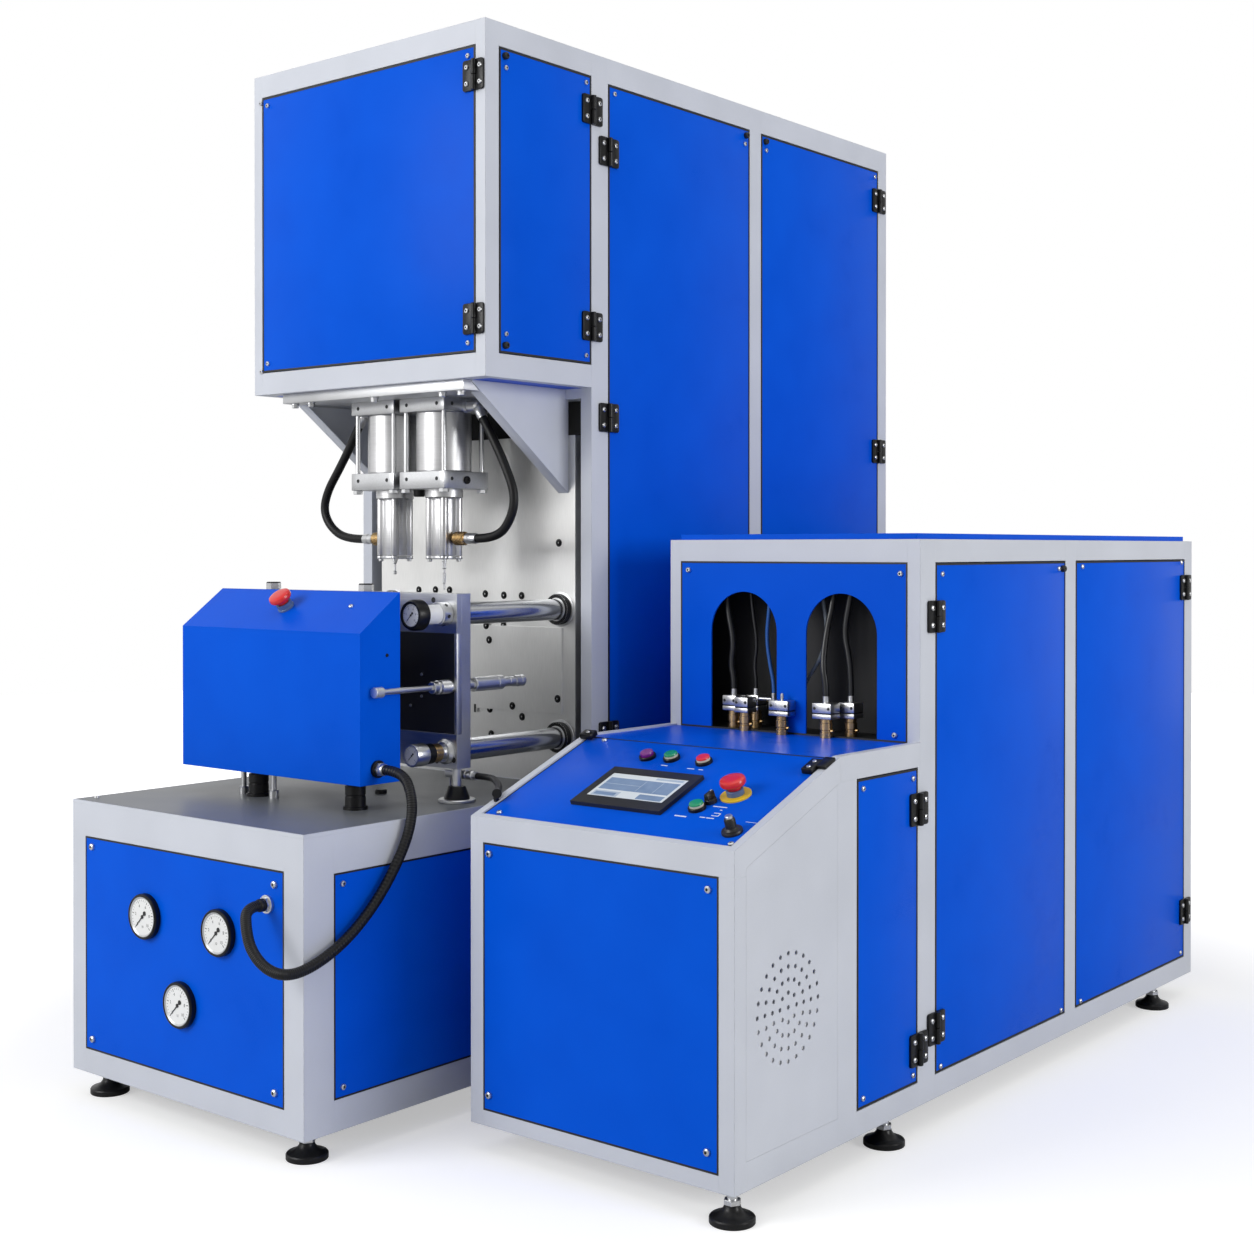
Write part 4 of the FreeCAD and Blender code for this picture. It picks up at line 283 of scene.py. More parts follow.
# -------- welded frames
# Square steel tubes, welded, ground flush and powder coated pale grey: the base with its deck
# plate, the tower, the head box and the cabinet with its console.
grey = finish("grey_coat", (196, 200, 209), (204, 208, 217), 0.38, 1400, relief=0.05, edge=1.6)
for name in ("base_frame", "tower_frame", "head_frame", "cabinet_frame", "console_vent_panel"):
    nodes[name].data.materials[0] = grey


# -------- blue sheets
# Fixed blue sheets: base sides and front, tower and cabinet walls, the raised roof, the window
# sheet with two arches, and the clamp housing, all in one smooth glossy powder coat.
blue = finish(
    "blue_coat", (0, 82, 210), (2, 88, 218), 0.3, 1400, relief=0.03, edge=1.4, Specular_IOR_Level=0.045
)
for name in ("base_panels", "tower_panels", "cabinet_panels", "window_panel", "clamp_housing"):
    nodes[name].data.materials[0] = blue


# -------- sheet seals and screws
# Black rubber seals edge the fixed sheets, and button-head screws hold their corners. The seals
# are extruded strips pressed into the joint after painting; their black also stands in for the
# shade inside the joints, so it is partly painted shade.


def soften(shell, edges, width):
    bmesh.ops.bevel(shell, geom=edges, offset=width, segments=2, profile=0.5, affect="EDGES")


class Shape:
    """A mesh in millimetres that grows shell by shell, each shell in its own finish."""

    def __init__(self, place=None):
        self.mesh = bmesh.new()
        self.finishes = []
        self.place = place or Matrix()

    def add(self, shell, material, place=None):
        if material not in self.finishes:
            self.finishes.append(material)
        for face in shell.faces:
            face.material_index = self.finishes.index(material)
        shell.transform(self.place @ (place or Matrix()))
        part = bpy.data.meshes.new("shell")
        shell.to_mesh(part)
        shell.free()
        self.mesh.from_mesh(part)
        bpy.data.meshes.remove(part)

    def slab(self, low, high, material, edge=0.8, place=None):
        """A block between two corners, with broken edges."""
        shell = bmesh.new()
        size = Vector(high) - Vector(low)
        middle = (Vector(high) + Vector(low)) / 2
        fit = Matrix.Translation(middle) @ Matrix.Diagonal((*size, 1))
        bmesh.ops.create_cube(shell, size=1, matrix=fit)
        if edge:
            soften(shell, shell.edges[:], edge)
        self.add(shell, material, place)

    def lathe(self, profile, base, axis, material, sides=40, hollow=False):
        """A turned form of (radius, height) pairs, closed to its axis unless it's a hollow ring."""
        shell = bmesh.new()
        profile = list(profile)
        if not hollow and profile[0][0]:
            profile.insert(0, (0, profile[0][1]))
        if not hollow and profile[-1][0]:
            profile.append((0, profile[-1][1]))
        rings = []
        for radius, height in profile:
            turns = [math.tau * i / sides for i in range(sides if radius else 1)]
            ring = [(radius * math.cos(a), radius * math.sin(a), height) for a in turns]
            rings.append([shell.verts.new(point) for point in ring])
        if hollow:
            rings.append(rings[0])
        for low, high in zip(rings, rings[1:]):
            for i in range(sides):
                j = (i + 1) % sides
                near = [low[i % len(low)], low[j % len(low)]]
                far = [high[j % len(high)], high[i % len(high)]]
                shell.faces.new(list(dict.fromkeys(near + far))).smooth = True
        bmesh.ops.recalc_face_normals(shell, faces=shell.faces[:])
        turn = Vector(axis).to_track_quat("Z", "Y").to_matrix().to_4x4()
        self.add(shell, material, Matrix.Translation(base) @ turn)

    def stack(self, base, axis, *forms):
        """Turned forms on one line, each given as its finish, its sides and its profile."""
        for material, sides, *profile in forms:
            self.lathe(profile, base, axis, material, sides)

    def prism(self, outline, depth, material, place=None, edge=0):
        """A plate of any outline in its own XY plane, raised by its depth along Z."""
        shell = bmesh.new()
        low = [shell.verts.new((x, y, 0)) for x, y in outline]
        high = [shell.verts.new((x, y, depth)) for x, y in outline]
        shell.faces.new(low)
        shell.faces.new(high)
        for i in range(len(outline)):
            shell.faces.new((low[i - 1], low[i], high[i], high[i - 1])).smooth = True
        bmesh.ops.recalc_face_normals(shell, faces=shell.faces[:])
        if edge:
            soften(shell, [e for e in shell.edges if e.calc_face_angle(0) > 0.6], edge)
        self.add(shell, material, place)

    def done(self, name, body, slot, *replaced):
        """Makes the piece in metres, hangs it on its body and hides the parts it replaces."""
        data = bpy.data.meshes.new(name)
        self.mesh.transform(Matrix.Scale(0.001, 4))
        self.mesh.to_mesh(data)
        self.mesh.free()
        for material in self.finishes:
            data.materials.append(material)
        data.set_sharp_from_angle(angle=math.radians(28))
        piece = placed(name, data)
        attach(piece, body)
        if replaced:
            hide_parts(*replaced)


# The strips' black is rubber, and it is also painted shade of the joints between sheets and frames.
seal_rubber_and_gap_shade = finish("seal_rubber_and_gap_shade", (8, 9, 12), (16, 17, 20), 0.55, relief=0.15)
bright = finish("screw_steel", (196, 197, 199), (216, 217, 218), 0.3, 2600, relief=0.01, Metallic=1)
# Flat dark discs and strips in this finish are painted shade: the dark inside screw sockets, holes, slots and
# grooves.
hole_shade = finish("socket_shadow", (18, 18, 20), (34, 34, 36), 0.6, 2600, relief=0.05)

X, Y, Z = 0, 1, 2
STANDING = Matrix.Rotation(math.pi / 2, 4, "X")
UP, DOWN, FRONT, RIGHT = (0, 0, 1), (0, 0, -1), (0, -1, 0), (1, 0, 0)


def seal_and_gap_shade(shape, axis, face, outward, across, up, width=3, depth=0.2, proud=0.35):
    """Four black rubber strips round a sheet, partly painted shade of its joint; across and up are its spans
    on the two other axes.
    """
    (a1, a2), (b1, b2) = across, up
    for u1, u2, v1, v2 in (
        (a1, a2, b1, b1 + width),
        (a1, a2, b2 - width, b2),
        (a1, a1 + width, b1 + width, b2 - width),
        (a2 - width, a2, b1 + width, b2 - width),
    ):
        low, high = [u1, v1], [u2, v2]
        near, far = sorted((face - depth * outward, face + proud * outward))
        low.insert(axis, near)
        high.insert(axis, far)
        shape.slab(low, high, seal_rubber_and_gap_shade, 0)


def screws(shape, axis, face, outward, size, spots, rise=1):
    """Button-head screws with a dark disc in each socket as painted shade, placed by the two other axes."""
    head = ((0.5, 0), (0.5, 0.12), (0.45, 0.3), (0.28, 0.42), (0.2, 0.42), (0.18, 0.2))
    hollow = ((0.178, 0.205), (0.178, 0.26))
    heading = [0, 0, 0]
    heading[axis] = outward
    for spot in spots:
        at = list(spot)
        at.insert(axis, face)
        shape.lathe([(r * size, h * size * rise) for r, h in head], at, heading, bright, 20)
        shape.lathe([(r * size, h * size * rise) for r, h in hollow], at, heading, hole_shade, 12)


def corners(across, up, inset=18):
    return [(a, b) for a in (across[0] + inset, across[1] - inset) for b in (up[0] + inset, up[1] - inset)]


deck_top, base_front, window_front, cabinet_front = 525, -974.5, -209.5, -736.5
tray_floor, tray_top = 646, 948
tower_left, tower_right, cabinet_left, back_end = -639, -14, 116, 974.5
seals = Shape()
for axis, face, outward, across, up in (
    (Y, base_front, -1, (-600, -61), (87, 463)),
    (X, tower_right, 1, (-912.5, -304.5), (96, 456)),
    (X, tower_right, 1, (-260.5, 742.5), (96, 456)),
    (X, tower_left, -1, (-912.5, -304.5), (96, 456)),
    (X, tower_left, -1, (-260.5, 742.5), (96, 456)),
    (Y, 778.5, 1, (-599, -54), (87, 463)),
    (Y, 778.5, 1, (-613, -40), (565, 1845)),
    (X, tower_left, -1, (-234.5, 227.5), (565, 1845)),
    (X, tower_left, -1, (268.5, 742.5), (565, 1845)),
    (X, tower_left, -1, (-532.5, -282.5), (1313, 1850)),
    (Y, cabinet_front, -1, (144, 611), (70, 500)),
    (X, cabinet_left, -1, (-407.5, -216.5), (85, 609)),
    (X, cabinet_left, -1, (-158.5, 342.5), (85, 948)),
    (X, cabinet_left, -1, (387.5, 934.5), (85, 948)),
    (Y, back_end, 1, (140, 615), (85, 948)),
    (Y, window_front, -1, (140, 615), (tray_floor, tray_top)),
):
    outermost = face in (tower_left, back_end)
    seal_and_gap_shade(seals, axis, face, outward, across, up, proud=0.1 if outermost else 0.35)
    if face not in (base_front, cabinet_front, window_front):
        screws(seals, axis, face, outward, 10.5, corners(across, up), 0.03 if outermost else 1)
screws(seals, Y, base_front, -1, 12.5, [(-579, 446), (-83, 440), (-578, 107), (-83, 110)])
screws(seals, Y, cabinet_front, -1, 12, [(158, 483), (593, 480), (157, 96), (591, 100)])
screws(seals, Y, window_front, -1, 10.5, [(158, 932), (602, 929), (591, 658)])
screws(seals, Y, -566.5, -1, 9, [(-618, 1839), (-618, 1316)])
screws(seals, Z, deck_top, 1, 9, [(-617, -940.5)])
seals.done("sheet_seals_and_gap_shade", "root", "black_rubber")


# -------- deck sheet
# The top of the base is a sheet of satin grey steel, laid flat inside the frame's edges under the
# fittings that stand on it. Its dark grey is partly the steel's own tone and partly painted shade.
deck_steel_and_painted_shade = finish("deck_steel_and_painted_shade", (101, 104, 107), (110, 113, 116), 0.36, relief=0.04, Specular_IOR_Level=0.2)
deck = Shape()
deck.slab((-636, -971.5, deck_top - 0.2), (-17, -282.5, deck_top + 0.25), deck_steel_and_painted_shade, 0)
deck.done("deck_sheet", "root", "stainless")


# -------- doors and hinges
# Seven folded steel doors lie flush in the frames, blue pans with returned edges and a rubber
# edge trim whose wide black also paints the shade in the door gaps. Each hangs on two or three
# black cast hinges: the upper half of the knuckle is on the door's leaf and the lower half on
# the frame's, two silver screws to a leaf.
black = finish("hinge_black", (8, 8, 9), (16, 16, 18), 0.34, 1200, edge=0.6, Specular_IOR_Level=0.3)


def leaf(shape, face, pin, height, side, upper, reach=28):
    """A hinge leaf on a face, reaching from its pin along +Y or -Y, with half of the knuckle."""
    place = Matrix(((0, 0, 1, face), (1, 0, 0, pin), (0, 1, 0, height), (0, 0, 0, 1)))
    outline = [(side * 5.2, -27), (side * (reach - 4), -27)]
    outline += [(side * (reach - 1.2), -25.8), (side * reach, -23), (side * reach, 23)]
    outline += [(side * (reach - 1.2), 25.8), (side * (reach - 4), 27), (side * 5.2, 27)]
    shape.prism(outline, 4.5, black, place, 0.7)
    start = height + 0.3 if upper else height - 27
    knuckle = ((4.3, 0), (5, 0.7), (5, 26), (4.3, 26.7))
    shape.lathe(knuckle, (face + 5.5, pin, start), UP, black, 24)
    low, high = sorted((pin + side * 2, pin + side * 7))
    shape.slab((face + 0.3, low, start), (face + 4.4, high, start + 26.7), black, 0)
    middle = pin + side * (reach + 7) / 2
    screws(shape, X, face + 4.5, 1, 9.5, [(middle, height + 14.5), (middle, height - 14.5)], 0.8)


cabinet_right, head_front = 639, 566.5
frame_leaves = Shape()
for name, face, across, up, side, heights, spots, turn in (
    (
        "tower_front_door", tower_right, (-231.5, 224.5), (568, 1842), 1, (1716, 1217, 619),
        ((-216, 1829), (209, 1812), (209, 581)), 0,
    ),
    (
        "tower_rear_door", tower_right, (271.5, 739.5), (568, 1842), -1, (1775, 1196, 619),
        ((287, 1812), (726, 1829), (287, 581)), 0,
    ),
    (
        "head_side_door", tower_right, (-529.5, -285.5), (1316, 1847), -1, (1786, 1384),
        ((-515, 1815), (-299, 1834), (-299, 1329), (-515, 1348)), 0,
    ),
    (
        "head_front_door", head_front, (-613, -40), (1316, 1847), -1, (1796, 1372),
        ((-598, 1832), (-55, 1832), (-598, 1331), (-55, 1331)), -90,
    ),
    (
        "cabinet_front_door", cabinet_right, (-155.5, 339.5), (88, 945), 1, (857, 165),
        ((-136.5, 928), (312, 933), (-141.5, 96), (323.5, 95)), 0,
    ),
    (
        "cabinet_rear_door", cabinet_right, (390.5, 931.5), (88, 945), -1, (887, 185),
        ((415.5, 936), (913.5, 941), (409.5, 95), (912.5, 98)), 0,
    ),
    (
        "console_door", cabinet_right, (-404.5, -219.5), (88, 606), -1, (540, 142),
        ((-390, 592), (-234, 592), (-390, 102), (-234, 102)), 0,
    ),
):
    shell = bmesh.new()
    size = (18, across[1] - across[0] - 2, up[1] - up[0] - 2, 1)
    middle = (face - 9, sum(across) / 2, sum(up) / 2)
    bmesh.ops.create_cube(shell, size=1, matrix=Matrix.Translation(middle) @ Matrix.Diagonal(size))
    back = min(shell.faces, key=lambda panel: panel.calc_center_median().x)
    bmesh.ops.inset_region(shell, faces=[back], thickness=12)
    bmesh.ops.translate(shell, verts=back.verts, vec=(15, 0, 0))
    soften(shell, [e for e in shell.edges if all(v.co.x > face - 1 for v in e.verts)], 1.2)
    turned = Matrix.Rotation(math.radians(turn), 4, "Z")
    door = Shape(turned)
    door.add(shell, blue)
    wide = [(low - 1.6, high + 1.6) for low, high in (across, up)]
    # Wide black strips round the door: rubber trim, and painted shade of the gap round it.
    seal_and_gap_shade(door, X, face, 1, *wide, 3.6, 4)
    screws(door, X, face, 1, 9.5, spots)
    pin = across[0] - 3 if side > 0 else across[1] + 3
    frame_leaves.place = turned
    for height in heights:
        leaf(door, face, pin, height, side, True)
        leaf(frame_leaves, face, pin, height, -side, False, 21 if turn else 28)
    door.done(name + "_pan", name, "blue_paint", name)
frame_leaves.done("hinge_frame_leaves", "root", "black_steel", "frame_hinge_leaves")

knob_black = finish("knob_black", (14, 14, 15), (26, 26, 28), 0.38, 1200)
for name, at in (
    ("tower_front_catch", (tower_right, 212.5, 1830)),
    ("tower_rear_catch", (tower_right, 283.5, 1830)),
    ("cabinet_front_catch", (cabinet_right, 327.5, 933)),
    ("head_side_catch_high", (tower_right, -517.5, 1835)),
    ("head_side_catch_low", (tower_right, -517.5, 1328)),
):
    knob = Shape()
    turning = ((6.4, 0.1), (6.4, 4.8), (5.9, 6.6), (4.6, 7.9), (2.4, 7.9), (2.1, 6))
    knob.lathe(turning, at, RIGHT, knob_black, 32)
    knob.done(name + "_knob", name, "black_plastic", name)


# -------- dark linings
# Matt black sheet closes the tower's front behind the clamp and lines the valve tray behind the
# arched windows.
lining_black = finish("lining_black", (9, 9, 10), (16, 16, 18), 0.6, 500)
tray_front, tray_wall, tray_back = -206.5, -115.5, -114.5
lining = Shape()
for low, high in (
    ((-613, -238.5, deck_top), (-582, -237.5, 1252)),
    ((-71, -238.5, deck_top), (-40, -237.5, 1252)),
    ((-582, -238.5, 1180), (-71, -237.5, 1252)),
    ((140, tray_wall, tray_floor), (615, tray_back, tray_top)),
    ((140, tray_front, tray_floor), (141, tray_wall, tray_top)),
    ((614, tray_front, tray_floor), (615, tray_wall, tray_top)),
    ((140, tray_front, tray_top - 2), (615, tray_wall, tray_top)),
    ((140, tray_front, tray_floor), (615, tray_wall, tray_floor + 0.8)),
):
    lining.slab(low, high, lining_black, 0)
lining.done("dark_linings", "root", "black_steel")


# -------- cylinder bracket
# A thick machined plate under the head carries both blow cylinders. Two grey steel gussets with
# folded flanges brace it against the tower.
machined = finish(
    "machined_plate", (190, 191, 193), (212, 213, 215), 0.42, 900, (1, 0.03, 1), 0.02, 0.8, Metallic=1
)
bracket = Shape()
bracket.slab((-572, -552.5, 1252), (-81, -282.5, 1271), machined, 1)
sideways = ((0, 0, 1, 0), (1, 0, 0, 0), (0, 1, 0, 0), (0, 0, 0, 1))
web = ((-533.5, 1271), (-533.5, 1268), (-274.5, 1076), (-274.5, 1252), (-282.5, 1252), (-282.5, 1271))
flange = ((-511.9, 1252), (-274.5, 1076), (-274.5, 1079), (-507.9, 1252))
for outline, start, depth in ((web, -575, 3), (web, -81, 3), (flange, -572, 22), (flange, -103, 22)):
    bracket.prism(outline, depth, grey, Matrix.Translation((start, 0, 0)) @ Matrix(sideways), 0.4)
for x in (-552, -505, -327, -148, -101):
    for y in (-538, -305):
        bracket.lathe(((8, 0), (8, 2)), (x, y, 1252), DOWN, bright, 24)
        bracket.lathe(((6.5, 2), (6.5, 7.5), (5.8, 8.4)), (x, y, 1252), DOWN, bright, 6)
bracket.done("bracket_plates", "root", "aluminium", "cylinder_bracket")


# -------- blow cylinders
# Two square-headed pneumatic cylinders with turned steel barrels and corner tie rods. Under each
# a ribbed extruded nozzle guides the stretch rod, whose tip shows below.
barrel_steel = finish(
    "barrel_steel", (190, 190, 191), (210, 210, 211), 0.33, 900, (0.03, 0.03, 1), 0.015, Metallic=1
)
block_steel = finish(
    "block_steel", (178, 179, 181), (200, 201, 203), 0.32, 500, relief=0.03, edge=1, Metallic=1
)


def bored(shape, outline, bore, middle, height, material):
    """An upright block of any outline round its middle, with a round bore right through."""
    shell = bmesh.new()
    walls = []
    for level in (0, height):
        walls.append([shell.verts.new((x, y, level)) for x, y in outline])
        inner = [Vector(point).normalized() * bore for point in outline]
        walls.append([shell.verts.new((x, y, level)) for x, y in inner])
    for i in range(len(outline)):
        for a, b in ((0, 2), (2, 3), (3, 1), (1, 0)):
            face = (walls[a][i - 1], walls[a][i], walls[b][i], walls[b][i - 1])
            shell.faces.new(face).smooth = True
    bmesh.ops.recalc_face_normals(shell, faces=shell.faces[:])
    soften(shell, [e for e in shell.edges if e.calc_face_angle(0) > 1.2], 0.9)
    shape.add(shell, material, Matrix.Translation(middle))


def square(half, count=48):
    turns = [math.tau * i / count for i in range(count)]
    reach = [half / max(abs(math.cos(a)), abs(math.sin(a))) for a in turns]
    return [(r * math.cos(a), r * math.sin(a)) for r, a in zip(reach, turns)]


def ribbed_tube(core, spread, lobe, count=120):
    """The outline of a round extrusion with a rounded rib at each corner."""
    outline = []
    for i in range(count):
        heading = Vector((math.cos(math.tau * i / count), math.sin(math.tau * i / count)))
        radius = core
        for corner in ((spread, spread), (-spread, spread), (-spread, -spread), (spread, -spread)):
            along = heading.dot(Vector(corner))
            inside = along * along - 2 * spread * spread + lobe * lobe
            if inside > 0 and along > 0:
                radius = max(radius, along + math.sqrt(inside))
        outline.append(tuple(heading * radius))
    return outline


line, half, bore, rod_bore = -423.5, 59, 40.5, 6
head_foot, barrel_foot, block_foot, collar_foot, nozzle_foot = 1227, 1115, 1083, 1067, 951
for side, x, tip in (("left", -393.5, 921), ("right", -259.5, 894)):
    cylinder = Shape(Matrix.Translation((x, line, 0)))
    bored(cylinder, square(half), bore, (0, 0, head_foot), 25, block_steel)
    bored(cylinder, square(half), rod_bore, (0, 0, block_foot), 32, block_steel)
    barrel = ((bore, 0), (50.5, 0), (52, 2), (52, 110), (50.5, 112), (bore, 112))
    cylinder.lathe(barrel, (0, 0, barrel_foot), UP, barrel_steel, 64, hollow=True)
    collar = ((rod_bore, 0), (35, 0), (36, 1), (36, 16), (rod_bore, 16))
    cylinder.lathe(collar, (0, 0, collar_foot), UP, barrel_steel, 48, hollow=True)
    bored(cylinder, ribbed_tube(24.5, 19, 7.5), rod_bore, (0, 0, 957.6), 109.4, barrel_steel)
    bored(cylinder, ribbed_tube(24.8, 19.2, 7.6), rod_bore, (0, 0, nozzle_foot), 6, block_steel)
    for a in (-1, 1):
        for b in (-1, 1):
            cylinder.lathe(((4.5, 0), (4.5, 112)), (a * 50, b * 50, barrel_foot), UP, bright, 16)
            nut = ((8.6, 0), (9.4, 0.8), (9.4, 6.6), (8.6, 7.4))
            cylinder.lathe(nut, (a * 50, b * 50, block_foot), DOWN, bright, 6)
            cap = ((4.6, 0), (4.6, 3.6), (3.9, 4.4), (1.8, 4.4), (1.6, 2.4))
            cylinder.lathe(cap, (a * 19, b * 19, nozzle_foot), DOWN, bright, 20)
        for height in (1101, 1240):
            # Flat dark discs on the blocks' faces are painted shade of ports.
            hole = ((3.6, 0), (3.6, 0.4))
            cylinder.lathe(hole, (a * 40, -half, height), FRONT, hole_shade, 20)
            cylinder.lathe(hole, (half * a, -38, height), (a, 0, 0), hole_shade, 20)
    rod = Shape(Matrix.Translation((x, line, tip)))
    if side == "right":
        plug = ((7.5, 0), (7.5, 3.4), (6.4, 4.6), (3.4, 4.6), (3, 2.6))
        cylinder.lathe(plug, (half, 0, 1099), RIGHT, black, 32)
        point = ((1.6, 0), (2.2, 1), (2.2, 11), (3.6, 12.4), (3.6, 30), (2.2, 31), (2.2, 38), (4, 40))
    else:
        cylinder.lathe(((11, 0), (11, 11), (9, 13)), (67, 0, block_foot), DOWN, black, 32)
        point = ((0, 0), (2.2, 0.5), (3.6, 2.6), (3.6, 5), (2.1, 7.4), (2.1, 20), (4, 22))
    cylinder.done("cylinder_" + side, "root", "aluminium", "blow_cylinder_" + side)
    top = 1226.7 - tip
    rod.lathe((*point, (4, top - 16), (39.6, top - 16), (39.6, top)), (0, 0, 0), UP, bright, 40)
    rod.done("rod_" + side, side + "_stretch", "polished_steel", "stretch_rod_" + side)


# -------- hose fittings
# Silver elbows on the cylinders' heads and ridged brass nuts on the nozzles hold the two hoses,
# each hose crimped in a silver ferrule.
brass = finish("brass", (186, 152, 102), (212, 182, 132), 0.28, 500, relief=0.03, edge=0.4, Metallic=1)
fittings = Shape()
for block, elbow, nozzle, side in ((-452.5, -479.5, -420, -1), (-200.5, -173.5, -233, 1)):
    corner, outlet, outwards = (elbow, line, 1236), (nozzle, line, 990), (side, 0, 0)
    neck = ((12, 0), (12, 7), (10, 8), (10, 27))
    fittings.lathe(neck, (block, line, 1236), outwards, bright, 32)
    ball = [(10 * math.sin(a * math.pi / 12), -10 * math.cos(a * math.pi / 12)) for a in range(1, 12)]
    fittings.lathe(((0, -10), *ball, (0, 10)), corner, UP, bright, 32)
    ferrule = ((8.6, 4), (9.5, 6), (9.5, 24), (9, 25), (9.5, 26), (9.2, 28))
    fittings.lathe(ferrule, corner, (side * 15.66, 0, -23.2), bright, 32)
    ridges = [(9, 0), (9, 5)]
    for step in range(6):
        ridges += [(12.2, 6 + 4 * step), (13, 7 + 4 * step), (13, 8.4 + 4 * step), (12.2, 9.4 + 4 * step)]
    ridges += [(9.4, 31), (9.4, 33)]
    fittings.lathe(ridges, outlet, outwards, brass, 32)
    sleeve = ((8.8, 33), (10, 35), (10, 42), (9.3, 43), (9.3, 46), (10, 47), (10, 58), (9.2, 60))
    fittings.lathe(sleeve, outlet, outwards, bright, 32)
fittings.done("hose_end_fittings", "root", "brass", "hose_fittings")


# -------- back plate
# A thick ground stainless plate behind the clamp with a thinner mould plate on it, four black
# flanged bushings for the tie bars, and black socket screws on flat black discs that paint the
# shade of their holes, each with a small bright dome as a painted highlight.
stainless = finish(
    "ground_stainless", (212, 212, 211), (226, 226, 225), 0.38, 800, (1, 0.05, 0.05), 0.03, 0.8, Metallic=1
)
nodes["clamp_back_plate"].data.materials[0] = stainless
left_bar, right_bar, low_bar, high_bar = -555, -98, 613.5, 856
plate_face, mould_plate_face = -274.5, -278.5
hardware = Shape()
for x in (left_bar, right_bar):
    for z in (low_bar, high_bar):
        seat = (x, plate_face + 0.1, z)
        flange = ((20.8, 0), (29.2, 0), (29.2, 12.2), (28, 13.4), (22.4, 13.4), (20.8, 12))
        hardware.lathe(flange, seat, FRONT, black, 56, hollow=True)
        ring = ((29.2, 0), (33, 0), (33, 1.6), (29.2, 2.2))
        hardware.lathe(ring, seat, FRONT, bright, 56, hollow=True)
for x, z in (
    (-482, 887), (-434, 888), (-394, 888), (-295, 882), (-245, 880), (-198, 880), (-102, 982), (-289, 820),
    (-246, 822), (-281, 792), (-102, 686), (-283, 656), (-219, 666), (-197, 646), (-279, 607),
):
    face = mould_plate_face if 657 < z < 821 else plate_face
    # Each screw: a black head on a flat black disc that paints the shade of its hole.
    hardware.stack(
        (x, face, z), FRONT,
        (black, 24, (7.4, 0), (7.4, 0.5)),
        (black, 20, (5.4, 0.5), (5.4, 2.4), (4.6, 3), (2.4, 3), (2.2, 1.4)),
    )
    # A small bright dome near each head's middle is a painted highlight.
    hardware.lathe(((1.8, 1.4), (1.4, 2), (0, 2.1)), (x + 0.3, face, z + 0.2), FRONT, bright, 12)
# A dark strip on the mould plate is painted shade of a slot.
hardware.slab((-322, -279, 648), (-317, -278.4, 664), hole_shade, 0)
hardware.done("back_plate_hardware", "root", "black_steel")


# -------- mould clamp
# The moving platen with its two ground strips, the black plate between them, four hard-chromed
# tie bars and the clamp cylinder inside the housing, with small screws on the platen's front.
platen_steel = finish(
    "platen_steel", (188, 189, 190), (208, 209, 210), 0.32, 700, (0.05, 1, 1), 0.03, 1, Metallic=1
)
chrome = finish("tie_bar_chrome", (196, 198, 202), (210, 212, 216), 0.19, relief=0.01, Metallic=1)
plate_black = finish("plate_black", (13, 13, 14), (24, 24, 26), 0.42, relief=0.15, edge=1)
nodes["clamp_platen"].data.materials[0] = platen_steel
nodes["tie_bars"].data.materials[0] = chrome
nodes["clamp_piston"].data.materials[0] = plate_black
nodes["clamp_cylinder"].data.materials[0] = block_steel
platen_face = -580.5
platen_screws = Shape()
for x, z in ((-158, 747), (-158, 708), (-186, 690)):
    platen_screws.lathe(((3, 0), (2.6, 1.4), (0, 1.8)), (x, platen_face, z), FRONT, bright, 16)
# Dark discs on the platen's front are painted shade of holes.
for x, z in ((-128, 880), (-120, 596), (-540, 880), (-540, 596), (-78, 600)):
    platen_screws.lathe(((5, 0), (5, 0.4)), (x, platen_face, z), FRONT, hole_shade, 20)
platen_screws.slab((-75.5, platen_face - 0.4, 645), (-69.7, -568.5, 822), platen_steel, 0.2)
platen_screws.done("platen_bolts", "clamp", "polished_steel")


# -------- clamp gauges
# On the platen's front at the right bars: a pressure gauge on a white cylinder above, and a
# regulator with a small gauge below. The left bars end in plain steel collars.
white_enamel = finish("white_enamel", (222, 223, 224), (232, 233, 233), 0.35, relief=0.05, edge=0.6)
dial_white = finish("dial_white", (226, 227, 226), (236, 237, 236), 0.5, 1500, relief=0.03)
dial_ink = finish("dial_ink", (20, 20, 22), (34, 34, 36), 0.5, 1500, relief=0.03)


def figure(shape, text, size, material, place):
    """A number in thin ink, lying in its own XY plane."""
    curve = bpy.data.curves.new("figure", "FONT")
    curve.body = text
    curve.size = size
    curve.align_x = "CENTER"
    curve.align_y = "CENTER"
    holder = bpy.data.objects.new("figure", curve)
    shell = bmesh.new()
    shell.from_mesh(bpy.data.meshes.new_from_object(holder))
    shape.add(shell, material, place)
    bpy.data.objects.remove(holder)


def dial(shape, centre, radius, numbers):
    """A white dial facing the front, its scale clockwise from low left to low right."""
    shape.lathe(((radius, 0), (radius, 0.25)), centre, FRONT, dial_white, 56)
    middle = Matrix.Translation(Vector(centre) + Vector((0, -0.25, 0)))
    steps = 5 * (len(numbers) - 1)
    for step in range(steps + 1):
        turn = math.radians(270 * step / steps - 135)
        major = step % 5 == 0
        low, high = (0.78 if major else 0.85), 0.94
        half = radius * (0.018 if major else 0.009)
        mark = middle @ Matrix.Rotation(turn, 4, "Y")
        shape.slab((-half, -0.12, low * radius), (half, 0.1, high * radius), dial_ink, 0, mark)
        if major:
            spot = Vector((math.sin(turn), 0, math.cos(turn))) * radius * 0.62
            upright = Matrix.Translation(spot + Vector((0, -0.1, 0))) @ STANDING
            figure(shape, numbers[step // 5], radius * 0.24, dial_ink, middle @ upright)


